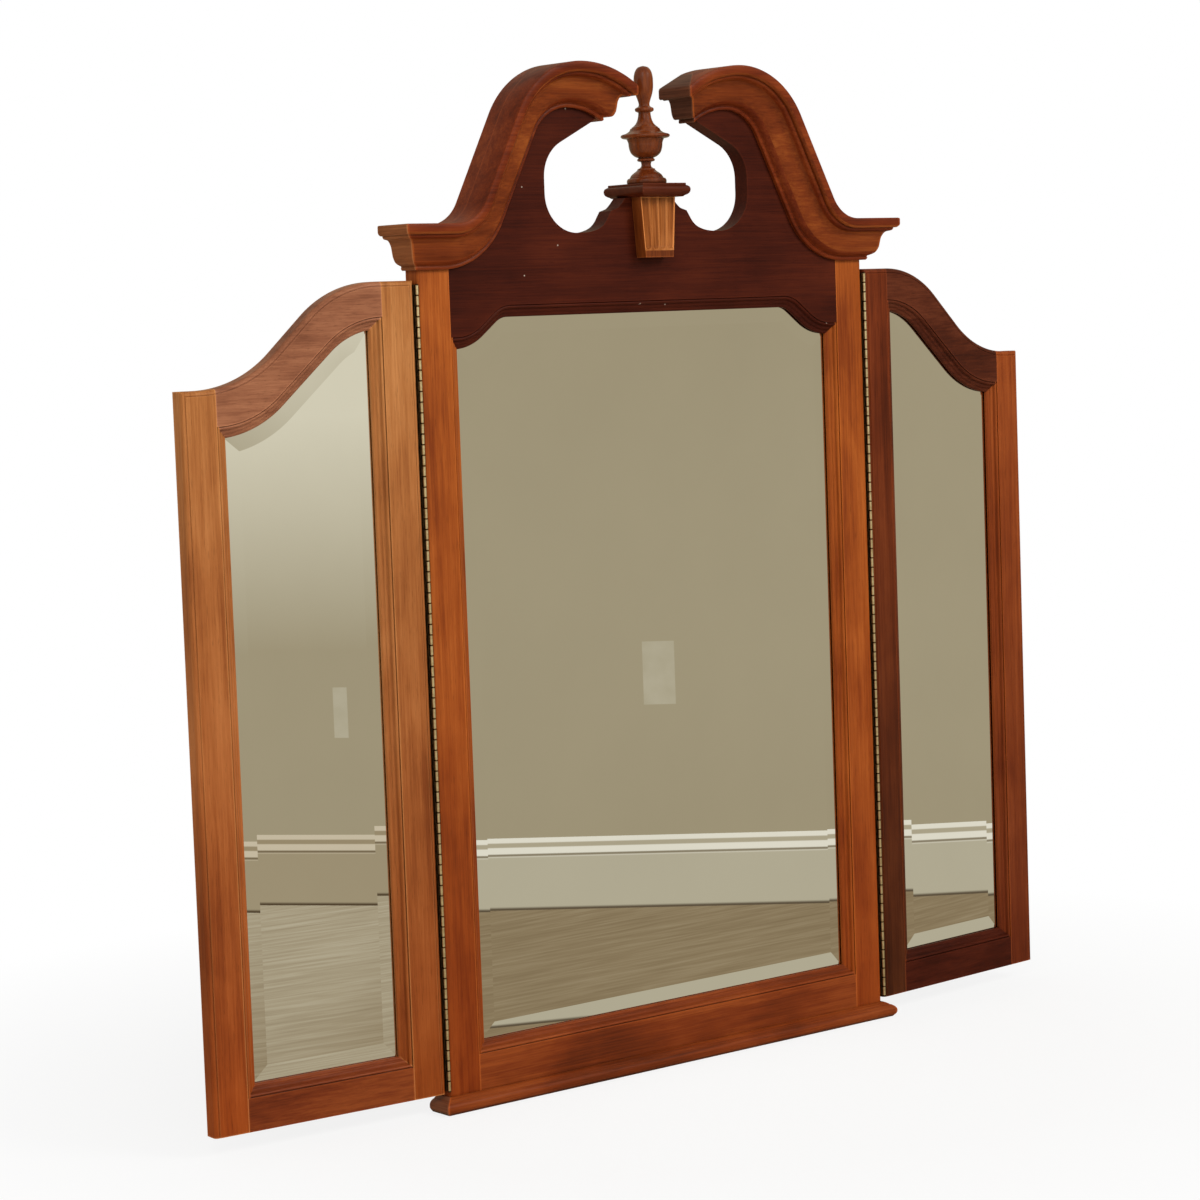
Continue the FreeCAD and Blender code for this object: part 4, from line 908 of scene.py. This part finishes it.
foot_rows = int(KEY_FOOT / KEY_HEIGHT * KEY_ROWS)
key = Piece().skin(key_rows[:foot_rows + 1], FOOT_AND_SIDES).skin(key_rows[foot_rows:], FLUTED)
for end in (0, -1):
    key.skin([[row[end], (row[end][0], FRONT, row[end][2])] for row in key_rows], FOOT_AND_SIDES)
    row = key_rows[end]
    fan(key, row + [(row[-1][0], FRONT, row[-1][2]), (row[0][0], FRONT, row[0][2])], FOOT_AND_SIDES)
rim = [row[0] for row in key_rows] + [row[-1] for row in key_rows[::-1]]
fan(key, [(x, FRONT, z) for x, _, z in rim], FOOT_AND_SIDES)
key.place("keystone_fluted", "centre_frame", "light_wood", [key_wood, key_foot_wood], ["keystone"],
          sharp=KEY_SHARP)

# %% [markdown]
# ## Base moulding
# A nosing under an ogee runs along the front and returns along both sides, mitred at the corners. It is a
# straight moulding, so two copies of the section are enough, and the same two helpers as for the crown close
# it.

# %% Base moulding
BASE_HEIGHT, BASE_OUT = 20.0, 15.0
BASE_SHARES = [
    (0.0, 0.0), (0.0, 0.13), (0.03, 0.23), (0.085, 0.36), (0.14, 0.475), (0.20, 0.57), (0.205, 0.66),
    (0.23, 0.69), (0.28, 0.80), (0.36, 0.905), (0.46, 0.975), (0.575, 1.0), (0.69, 0.985), (0.79, 0.925),
    (0.87, 0.845), (0.92, 0.77), (0.97, 0.73), (1.0, 0.67), (1.0, 0.0),
]
base_ends = [[(sign * (SIDE + o * BASE_OUT), FRONT - o * BASE_OUT, BASE_HEIGHT * (1 - d))
              for d, o in BASE_SHARES] for sign in (-1, 1)]
base = moulding(base_ends)
base.place("base_moulding_shaped", "centre_frame", "crown_wood", [bottom_rail_wood], ["base_moulding_front"])
for side in SIDES:
    side_return(base_ends[1]).place("base_return_shaped_" + side, "centre_frame", "crown_wood",
                                    [neck_end_wood], ["base_return_" + side], side)

# %% [markdown]
# ## Wings
# Each wing has two stiles of different height under one S-shaped top rail. Its outside edge is rounded, with
# a fine scored line beside the round. The wings could be drawn at their angle, but it is easier to draw both
# lying flat on the right, and then swing them to the angle at which they stand. The left one is also
# mirrored.

# %% Lines of a wing
UPRIGHT = (0.0, 1.0)
wing_sight, wing_plain = sight_section(WING_BACK), plain_section(WING_BACK)
wing_edge = beaded_section(WING_BACK)
shoulder = [p for p in WING_TOP if WING_SIGHT_IN < p[0] < WING_SIGHT_OUT]
low_flat = [p for p in WING_TOP if p[0] > WING_SIGHT_OUT]


def top_height(x):
    """The wing's top at x."""
    line = [(WING_IN, WING_TOP_Z)] + WING_TOP + [(WING_OUT, WING_LOW_TOP_Z)]
    for (x0, z0), (x1, z1) in zip(line, line[1:]):
        if x0 <= x <= x1 and x1 > x0:
            return z0 + (z1 - z0) * (x - x0) / (x1 - x0)
    raise ValueError("outside the wing")


outer_top = (WING_SIGHT_OUT, top_height(WING_SIGHT_OUT))
print("a wing's outer joint is at", outer_top)

# %% Wing members
WING_MEMBERS = {
    "hinge_stile": ("light_wood", [
        (along((WING_IN, WING_BOTTOM_Z), (WING_IN, WING_TOP_Z)) + [(WING_SIGHT_IN, WING_TOP_Z)],
         wing_edge, None, UPRIGHT),
        (along((WING_SIGHT_IN, WING_HEAD_Z), (WING_SIGHT_IN, SILL_Z)), wing_sight, MITRE_DOWN, MITRE_UP),
        ([(WING_SIGHT_IN, WING_BOTTOM_Z)], wing_plain)]),
    "outer_stile": ("light_wood", [
        ([(WING_SIGHT_OUT, WING_BOTTOM_Z)], wing_plain),
        (along((WING_SIGHT_OUT, SILL_Z), (WING_SIGHT_OUT, WING_LOW_HEAD_Z)), wing_sight, MITRE_UP, MITRE_DOWN),
        ([outer_top] + low_flat + [(WING_OUT, WING_LOW_TOP_Z), (WING_OUT, WING_BOTTOM_Z)],
         wing_edge, UPRIGHT, None)]),
    "top_rail": ("dark_wood", [
        ([(WING_SIGHT_IN, WING_TOP_Z)] + shoulder + [outer_top], wing_edge, UPRIGHT, UPRIGHT),
        (WING_HEAD[::-1], wing_sight, MITRE_UP, MITRE_DOWN)]),
    "bottom_rail": ("red_wood", bottom_rail_runs(WING_SIGHT_IN, WING_SIGHT_OUT, WING_BOTTOM_Z, WING_BACK)),
}
for side in SIDES:
    for part, (slot, runs) in WING_MEMBERS.items():
        member(runs, WING_BACK).place(
            "wing_%s_shaped_%s" % (part, side), side + "_wing", slot, [WING_WOODS[side][part]],
            ["wing_%s_%s" % (part, side)], side, wing=True)

# %% [markdown]
# ## Bevelled mirrors
# Each pane has a bevel 25 mm wide, ground along all four edges down to 2.2 mm. It shows a slightly turned
# second image of the room, which is what makes old mirrors sparkle. A bump could tilt that image, but not the
# pane's outline, so the bevel is real geometry. Along the shaped head it is a strip of triangles between two
# lines.

# %% Panes
GLASS_EDGE, BEVEL, THIN_EDGE = 8.5, 25.0, 2.2


def head_inset(head, x0, x1, inset):
    """The head line moved into the opening and trimmed between the two sides."""
    moved = [(x + mx * inset, z + mz * inset) for (x, z), (mx, mz) in zip(head, spread(head))]
    low, high = x0 + inset, x1 - inset
    kept = []
    for (xa, za), (xb, zb) in zip(moved, moved[1:]):
        for edge in (low, high):
            if xa < edge <= xb:
                kept.append((edge, za + (zb - za) * (edge - xa) / (xb - xa)))
        if low < xb < high:
            kept.append((xb, zb))
    return sorted(kept)


def ring(head, x0, x1, inset, y):
    """The pane's outline at an inset: up the left side, along the head and down the right side."""
    line = head_inset(head, x0, x1, inset)
    low = SILL_Z + inset
    return [(x, y, z) for x, z in [(line[0][0], low)] + line + [(line[-1][0], low)]]


def pane(head, x0, x1):
    """A closed pane: a flat middle, the bevel round it, a thin edge and a flat back."""
    thin = ring(head, x0, x1, GLASS_EDGE, GLASS_BACK - THIN_EDGE)
    flat = ring(head, x0, x1, GLASS_EDGE + BEVEL, GLASS_FRONT)
    rear = [(x, GLASS_BACK, z) for x, _, z in thin]
    piece = Piece().skin(list(zip(thin, rear)), closed=True).face(flat).face(rear)
    for a, b in ((0, 1), (-2, -1), (-1, 0)):
        piece.face([thin[a], thin[b], flat[b], flat[a]])
    # The two head lines have different numbers of points, so triangles join them from left to right.
    outer, inner = thin[1:-1], flat[1:-1]
    reached = 0
    for near, far in zip(outer, outer[1:]):
        piece.face([near, far, inner[reached]])
        middle = (far[0] + near[0]) / 2
        while reached < len(inner) - 1 and inner[reached + 1][0] <= middle:
            piece.face([far, inner[reached + 1], inner[reached]])
            reached += 1
    for near, far in zip(inner[reached:], inner[reached + 1:]):
        piece.face([outer[-1], far, near])
    return piece


print("points round the centre pane:", len(ring(CENTRE_HEAD, -SIGHT_X, SIGHT_X, GLASS_EDGE, GLASS_FRONT)))


# %% Bevels that turn the image
PANE_SHARP = math.radians(3)
BEND = 0.52
FLATTEST_BEVEL, STEEPEST_BEVEL = 0.99999, 0.9


def bend_bevels(piece):
    """Let the bevels turn the image as ground glass does in front of its silvering.

    Light is bent at the sloping front and mirrored at the flat back, so a bevel acts like a mirror that leans
    the other way by about half of its slope. Only the shading normals say so, and the shape stays as it is."""
    data = piece.data
    front = max((p for p in data.polygons if p.normal.y < 0), key=lambda p: p.area).normal.copy()
    bent = []
    for corner in data.corner_normals:
        normal = corner.vector.copy()
        facing = normal.dot(front)
        if STEEPEST_BEVEL < facing < FLATTEST_BEVEL:
            normal = (front * facing - BEND * (normal - front * facing)).normalized()
        bent.append(normal)
    data.normals_split_custom_set(bent)


bend_bevels(pane(CENTRE_HEAD, -SIGHT_X, SIGHT_X).place(
    "centre_mirror", "centre_frame", "mirror_glass", [silvered], ["centre_glass"], sharp=PANE_SHARP))
for side in SIDES:
    bend_bevels(pane(WING_HEAD, WING_SIGHT_IN, WING_SIGHT_OUT).place(
        "wing_mirror_" + side, side + "_wing", "mirror_glass", [silvered], ["wing_glass_" + side], side,
        wing=True, sharp=PANE_SHARP))

# %% [markdown]
# ## Continuous hinges
# Each hinge is two long leaves whose rolled knuckles take turns round one pin. There are 77 knuckles of 12.7
# mm, and the joints between them are the fine dashes along the gap. An Array modifier could repeat one
# knuckle. A loop does the same and leaves a plain mesh. Odd knuckles ride with the wing and even ones with
# the centre, so that the hinge stays closed when it turns.

# %% Knuckles and leaves
KNUCKLES, KNUCKLE, KNUCKLE_PLAY, KNUCKLE_SIDES = 77, 12.7, 1.6, 20
HINGE_LOW_Z = 28.0
HINGE_TOP_Z = HINGE_LOW_Z + KNUCKLE * KNUCKLES
BARREL, BORE, SOFT = 1.75, 1.2, 0.3
LEAF, LEAF_WIDE, LEAF_BEHIND_PIN, GAP, TAB = 1.2, 13.0, 2.85, 6.0, 0.9
LEAF_Y = HINGE_Y + LEAF_BEHIND_PIN
LEAF_PAINT, KNUCKLE_PAINT = 0, 1
KNUCKLE_TALL = KNUCKLE - KNUCKLE_PLAY
BARREL_OUTLINE = [
    (BORE, 0.0), (BARREL - SOFT, 0.0), (BARREL, SOFT), (BARREL, KNUCKLE_TALL - SOFT),
    (BARREL - SOFT, KNUCKLE_TALL), (BORE, KNUCKLE_TALL), (BORE, 0.0),
]


def box(piece, low, high):
    """Add a plain block between two opposite corners."""
    (x0, y0, z0), (x1, y1, z1) = low, high
    around = [(x0, y0), (x1, y0), (x1, y1), (x0, y1), (x0, y0)]
    piece.skin([[(x, y, z0), (x, y, z1)] for x, y in around], LEAF_PAINT)
    for z in (z0, z1):
        piece.face([(x, y, z) for x, y in around[:-1]], LEAF_PAINT)


def leaf(sign):
    """One leaf and its knuckles. sign is +1 on the wing's side and -1 on the centre's."""
    piece = Piece()
    outside = HINGE_X + sign * GAP / 2
    low, high = sorted((outside, outside - sign * LEAF))
    box(piece, (low, LEAF_Y, HINGE_LOW_Z), (high, LEAF_Y + LEAF_WIDE, HINGE_TOP_Z))
    low, high = sorted((HINGE_X + sign * TAB, outside))
    for i in range(0 if sign < 0 else 1, KNUCKLES, 2):
        z = HINGE_LOW_Z + i * KNUCKLE + KNUCKLE_PLAY / 2
        turned(piece, (HINGE_X, HINGE_Y, z), BARREL_OUTLINE, KNUCKLE_SIDES, KNUCKLE_PAINT)
        box(piece, (low, HINGE_Y + TAB, z), (high, LEAF_Y, z + KNUCKLE_TALL))
    return piece


print("a hinge is", round(HINGE_TOP_Z - HINGE_LOW_Z, 1), "mm long and has", KNUCKLES, "knuckles")


# %% Leaves and pins in place
PIN_BELOW = 0.8
PIN_FOOT = [(0.0, 0.0), (1.5, 0.0), (1.8, 0.3), (1.8, 0.8), (1.15, 0.8)]
PIN_HEAD = [(1.15, 0.8), (1.8, 0.8), (1.8, 1.3), (1.5, 1.6), (0.0, 1.6)]
pin_outline = PIN_FOOT + [(r, HINGE_TOP_Z - HINGE_LOW_Z + h) for r, h in PIN_HEAD]
# The leaves and pins take the dark brass of painted shade.
for side in SIDES:
    leaf(-1).place("hinge_knuckles_centre_" + side, "centre_frame", "brass", [gap_shade_brass, brass],
                   ["hinge_centre_leaf_" + side], side)
    leaf(1).place("hinge_knuckles_wing_" + side, side + "_wing", "brass", [gap_shade_brass, brass],
                  ["hinge_wing_leaf_" + side], side, wing=True)
    pin = turned(Piece(), (HINGE_X, HINGE_Y, HINGE_LOW_Z - PIN_BELOW), pin_outline, KNUCKLE_SIDES)
    pin.place("hinge_pin_round_" + side, "centre_frame", "brass", [gap_shade_brass], ["hinge_pin_" + side], side)

# %% [markdown]
# ## Pieces that stay as the CAD has them
# Strips, backboards, inserts and screws are plain shapes behind the glass or in the joints. Drawing them
# again would add nothing, so they keep their solids and only get their finishes.

# %% Finishes on CAD nodes
KEPT = {
    "centre_retaining_strips": raw_wood, "centre_backboard": hardboard, "centre_back_screws": steel,
    "support_inserts": brass,
}
for side in SIDES:
    KEPT["wing_retaining_strips_" + side] = raw_wood
    KEPT["wing_backboard_" + side] = hardboard
    KEPT["wing_back_screws_" + side] = steel
    KEPT["hinge_centre_screws_" + side] = brass
    KEPT["hinge_wing_screws_" + side] = brass
for name, finish in KEPT.items():
    data = nodes[name].data
    data.materials.clear()
    data.materials.append(finish)
print("drawn pieces:", len(made), "kept nodes:", len(KEPT))

# %% [markdown]
# ## The room that the mirrors show
# A mirror is only as convincing as what it reflects. A panorama picture could surround it, but a plain room
# of flat faces gives straight lines at true distances: a warm grey wall, a white skirting board and a pale
# wooden floor. Only reflected rays see it, so it neither shades the object nor hides it, and it isn't part of
# the object. Sizes here are in metres.

# %% Where the room stands
ROOM_FLOOR_Z, SKIRTING_TOP_Z, CEILING_Z = -0.225, -0.078, 3.2
WALL_DISTANCE, ROOM_HALF, ROOM_REACH = 2.30, 4.0, 8.0
SKIRTING_PROUD, SOCKET_PROUD = 0.02, 0.01
# The wall stands to the right of straight ahead by this angle.
FACING = math.radians(42.5)
AWAY = Vector((math.sin(FACING), -math.cos(FACING), 0))
ACROSS = Vector((math.cos(FACING), math.sin(FACING), 0))
UPWARDS = Vector((0, 0, 1))
print("the wall is", WALL_DISTANCE, "m in front of the mirror")

# %% Glowing materials
WINDOW_STARTS, WINDOW_FULL = -0.60, -0.95


def glow(name, build):
    """A material that only shines, so that the room looks the same under any lamp."""
    material = bpy.data.materials.new(name)
    material.use_nodes = True
    tree = material.node_tree
    tree.nodes.clear()
    shine = node(tree, "ShaderNodeEmission", Color=build(tree), Strength=1.0)
    node(tree, "ShaderNodeOutputMaterial", Surface=shine.outputs["Emission"])
    return material


def between(tree, direction, start, end):
    """A share that goes from 0 to 1 between two distances along a direction, in metres."""
    measure = node(tree, "ShaderNodeVectorMath", operation="DOT_PRODUCT")
    tree.links.new(own_metres(tree), measure.inputs[0])
    measure.inputs[1].default_value = direction
    return node(tree, "ShaderNodeMapRange", Value=measure.outputs["Value"], From_Min=start,
                From_Max=end).outputs["Result"]


def near_window(tree):
    """1 far along the wall against ACROSS, where a window lights the room, and 0 in the rest."""
    return between(tree, ACROSS, WINDOW_STARTS, WINDOW_FULL)


print("the room brightens over", round(WINDOW_STARTS - WINDOW_FULL, 2), "m")


# %% Colours of wall, floor, ceiling and sockets
WALL_LIT_FROM, WALL_LIT_TO = 0.30, 0.78


def wall_colour(tree):
    cloud = stretched_noise(tree, (0.45, 0.45, 0.9), 2, 0.4)
    base = ramp(tree, cloud, [(0.3, (0.365, 0.312, 0.200)), (0.7, (0.395, 0.342, 0.225))])
    lit = mix(tree, between(tree, UPWARDS, WALL_LIT_FROM, WALL_LIT_TO), base, (0.72, 0.68, 0.53, 1))
    return mix(tree, near_window(tree), base, lit)


def floor_colour(tree):
    boards = stretched_noise(tree, (5, 60, 1), 5, 0.6, 0.4)
    dim = ramp(tree, boards, [(0.25, (0.225, 0.165, 0.090)), (0.5, (0.282, 0.215, 0.122)),
                              (0.8, (0.355, 0.285, 0.175))])
    return mix(tree, near_window(tree), dim, mix(tree, 1.0, dim, (1.50, 1.68, 2.0, 1), "MULTIPLY"))


def ceiling_colour(tree):
    dust = stretched_noise(tree, (2, 2, 2), 2, 0.5)
    return ramp(tree, dust, [(0.3, (0.54, 0.50, 0.385)), (0.7, (0.60, 0.555, 0.43))])


def socket_colour(tree):
    dust = stretched_noise(tree, (20, 20, 20), 2, 0.5)
    return ramp(tree, dust, [(0.3, (0.44, 0.395, 0.275)), (0.7, (0.49, 0.445, 0.325))])


# %% Colours of the skirting
# The skirting's light and shade is painted on: lit beads, a painted shadow line and painted shade.
SHADED_FLOOR_GAP, FLAT, SHADOW_LINE = (0.12, 0.09, 0.055), (0.485, 0.445, 0.324), (0.27, 0.23, 0.155)
LIT_BEAD, SHADED_COVE, TOP_LIP = (0.81, 0.78, 0.66), (0.45, 0.40, 0.28), (0.62, 0.58, 0.46)
SKIRTING_BANDS = [
    (0.02, SHADED_FLOOR_GAP), (0.05, FLAT), (0.728, FLAT), (0.735, TOP_LIP), (0.745, TOP_LIP), (0.752, SHADOW_LINE),
    (0.772, SHADOW_LINE), (0.785, LIT_BEAD), (0.862, LIT_BEAD), (0.875, SHADED_COVE), (0.925, SHADED_COVE), (0.938, LIT_BEAD),
]


def skirting_colour(tree):
    """A flat board with the light and shade of its moulding painted on: two lit beads along its top with
    painted shade between them, a painted shadow line under them and a painted shaded gap over the floor.
    """
    bands = ramp(tree, between(tree, UPWARDS, ROOM_FLOOR_Z, SKIRTING_TOP_Z), SKIRTING_BANDS)
    # Painted shade: far along the wall against ACROSS the skirting is darker.
    return mix(tree, near_window(tree), bands, mix(tree, 1.0, bands, (0.77, 0.70, 0.61, 1), "MULTIPLY"))


print("stops in the skirting's ramp:", len(SKIRTING_BANDS))


# %% Faces of the room
# Each socket is given from and to along the wall, and then from and to in height.
SOCKETS = ((-0.151, -0.087, 0.184, 0.311), (-1.155, -1.125, 0.121, 0.225))
ROOM_UNSEEN_BY = ("camera", "diffuse", "shadow")


def surroundings(name, corners, material, unseen_by):
    """Flat quads that aren't part of the object."""
    data = bpy.data.meshes.new(name)
    data.from_pydata(corners, [], [tuple(range(k, k + 4)) for k in range(0, len(corners), 4)])
    data.materials.append(material)
    piece = bpy.data.objects.new(name, data)
    bpy.context.scene.collection.objects.link(piece)
    for rays in unseen_by:
        setattr(piece, "visible_" + rays, False)
    print("set up", name)


def upright(a, b, low, high):
    """The corners of a standing quad over the line from a to b."""
    return [(a.x, a.y, low), (b.x, b.y, low), (b.x, b.y, high), (a.x, a.y, high)]


def level(reach, z):
    """The corners of a lying square round the origin."""
    return [(-reach, -reach, z), (reach, -reach, z), (reach, reach, z), (-reach, reach, z)]


def walls(half, high):
    """Four walls round the room's middle, the first of them facing the mirror."""
    centre = AWAY * (WALL_DISTANCE - ROOM_HALF)
    corners = [centre + AWAY * a * half + ACROSS * b * half for a, b in ((1, -1), (1, 1), (-1, 1), (-1, -1))]
    return sum((upright(a, b, ROOM_FLOOR_Z, high) for a, b in zip(corners, corners[1:] + corners[:1])), [])


surroundings("room_wall", walls(ROOM_HALF, CEILING_Z), glow("wall_paint", wall_colour), ROOM_UNSEEN_BY)
surroundings("room_skirting", walls(ROOM_HALF - SKIRTING_PROUD, SKIRTING_TOP_Z),
             glow("skirting_paint", skirting_colour), ROOM_UNSEEN_BY)
socket_paint = glow("socket_plastic", socket_colour)
for number, (start, end, low, high) in enumerate(SOCKETS):
    edges = [AWAY * (WALL_DISTANCE - SOCKET_PROUD) + ACROSS * along_wall for along_wall in (start, end)]
    surroundings("room_socket_%d" % number, upright(*edges, low, high), socket_paint, ROOM_UNSEEN_BY)
surroundings("room_floor", level(ROOM_REACH, ROOM_FLOOR_Z), glow("floor_boards", floor_colour), ROOM_UNSEEN_BY)
surroundings("room_ceiling", level(ROOM_REACH, CEILING_Z), glow("ceiling_paint", ceiling_colour),
             ROOM_UNSEEN_BY)

# %% [markdown]
# ## Pale floor
# The object stands on a plain pale floor that catches its shadow. Far from the object the floor should end in
# white without an edge. More light would bleach the object too, so instead the floor itself starts to shine
# with distance, and only the camera sees that.

# %% Pale floor
FLOOR_REACH = 40.0
FADE_START, FADE_END, FADE_LEAST = 0.55, 1.3, 0.82


def maths(tree, operation, first, second):
    """Arithmetic on two outputs. Both inputs have the same name, so they are linked by their places."""
    sums = node(tree, "ShaderNodeMath", operation=operation)
    tree.links.new(first, sums.inputs[0])
    tree.links.new(second, sums.inputs[1])
    return sums.outputs["Value"]


def blend_shaders(tree, share, first, second):
    blended = node(tree, "ShaderNodeMixShader", Fac=share)
    tree.links.new(first, blended.inputs[1])
    tree.links.new(second, blended.inputs[2])
    return blended.outputs["Shader"]


floor_material, tree, shader = new_material("pale_floor")
floor_tone = stretched_noise(tree, (1.5, 1.5, 1.5), 2, 0.5)
put(tree, shader, Base_Color=ramp(tree, floor_tone, [(0.2, 0.80), (0.8, 0.83)]), Roughness=0.9)
distance = node(tree, "ShaderNodeVectorMath", operation="LENGTH", Vector=own_metres(tree))
fade = node(tree, "ShaderNodeMapRange", Value=distance.outputs["Value"], From_Min=FADE_START,
            From_Max=FADE_END, To_Min=FADE_LEAST)
rays = node(tree, "ShaderNodeLightPath")
shining = maths(tree, "MULTIPLY", fade.outputs["Result"], rays.outputs["Is Camera Ray"])
floor_light = node(tree, "ShaderNodeEmission", Strength=1.0)
put(tree, tree.nodes["Material Output"], Surface=blend_shaders(
    tree, shining, shader.outputs["BSDF"], floor_light.outputs["Emission"]))
surroundings("floor", level(FLOOR_REACH, 0), floor_material, ("glossy",))

# %% [markdown]
# ## Light
# Two large soft lamps stand in front, the stronger one on the right, in a softly lit studio. They could be
# made bright enough to turn the backdrop white. The world shows plain white to the camera and to mirrors
# instead, and the object keeps its own colours.

# %% World
WORLD_COLOUR, WORLD_STRENGTH, WHITE = (1.0, 0.985, 0.96, 1), 0.52, (1, 1, 1, 1)
world = bpy.data.worlds.new("studio")
bpy.context.scene.world = world
world.use_nodes = True
tree = world.node_tree
background = put(tree, tree.nodes["Background"], Color=WORLD_COLOUR, Strength=WORLD_STRENGTH)
white = node(tree, "ShaderNodeBackground", Color=WHITE, Strength=1.0)
rays = node(tree, "ShaderNodeLightPath")
direct = maths(tree, "MAXIMUM", rays.outputs["Is Camera Ray"], rays.outputs["Is Glossy Ray"])
clear = maths(tree, "MAXIMUM", direct, rays.outputs["Is Transmission Ray"])
put(tree, tree.nodes["World Output"], Surface=blend_shaders(
    tree, clear, background.outputs["Background"], white.outputs["Background"]))

# %% Lamps


def lamp(name, place, target, size, power, colour):
    """A round area lamp that faces its target. Sizes are in metres and power in watts."""
    data = bpy.data.lights.new(name, "AREA")
    data.shape = "DISK"
    data.size = size
    data.energy = power
    data.color = colour
    light = bpy.data.objects.new(name, data)
    light.location = place
    light.rotation_euler = (Vector(target) - Vector(place)).to_track_quat("-Z", "Y").to_euler()
    bpy.context.scene.collection.objects.link(light)
    print("lamp", name, "of", power, "W")


lamp("soft_key", (2.6, -5.2, 4.2), (0, 0, 0.6), 3.0, 190, (1.0, 0.97, 0.92))
lamp("soft_left", (-4.2, -4.4, 4.4), (0, 0, 0.8), 2.6, 98, (1.0, 0.98, 0.95))

# %% [markdown]
# ## Camera
# The camera stands to the left of the middle and looks slightly down. A Track To constraint would aim it at
# one point, but not lean it, so its three directions are written as a matrix: to the right, to the top and
# backwards.

# %% Camera
SENSOR_WIDTH = 36.0
PIXELS, FOCAL_PIXELS = 1200.0, 3195.4
AZIMUTH, ELEVATION, ROLL = (math.radians(a) for a in (38.521, -5.055, -2.067))
eye = Vector((-2.58506, -3.13151, 0.95953))
ahead = Vector((math.sin(AZIMUTH) * math.cos(ELEVATION), math.cos(AZIMUTH) * math.cos(ELEVATION),
                math.sin(ELEVATION)))
sideways = Vector((math.cos(AZIMUTH), -math.sin(AZIMUTH), 0))
upward = sideways.cross(ahead)
to_right = sideways * math.cos(ROLL) + upward * math.sin(ROLL)
to_top = upward * math.cos(ROLL) - sideways * math.sin(ROLL)
camera_data = bpy.data.cameras.new("camera")
camera_data.sensor_width = SENSOR_WIDTH
camera_data.lens = FOCAL_PIXELS / PIXELS * camera_data.sensor_width
camera = bpy.data.objects.new("camera", camera_data)
camera.matrix_world = Matrix((
    (to_right.x, to_top.x, -ahead.x, eye.x), (to_right.y, to_top.y, -ahead.y, eye.y),
    (to_right.z, to_top.z, -ahead.z, eye.z), (0, 0, 0, 1)))
bpy.context.scene.collection.objects.link(camera)
bpy.context.scene.camera = camera
bpy.context.scene.view_settings.view_transform = "Standard"
print("camera with a lens of", round(camera_data.lens, 1), "mm")
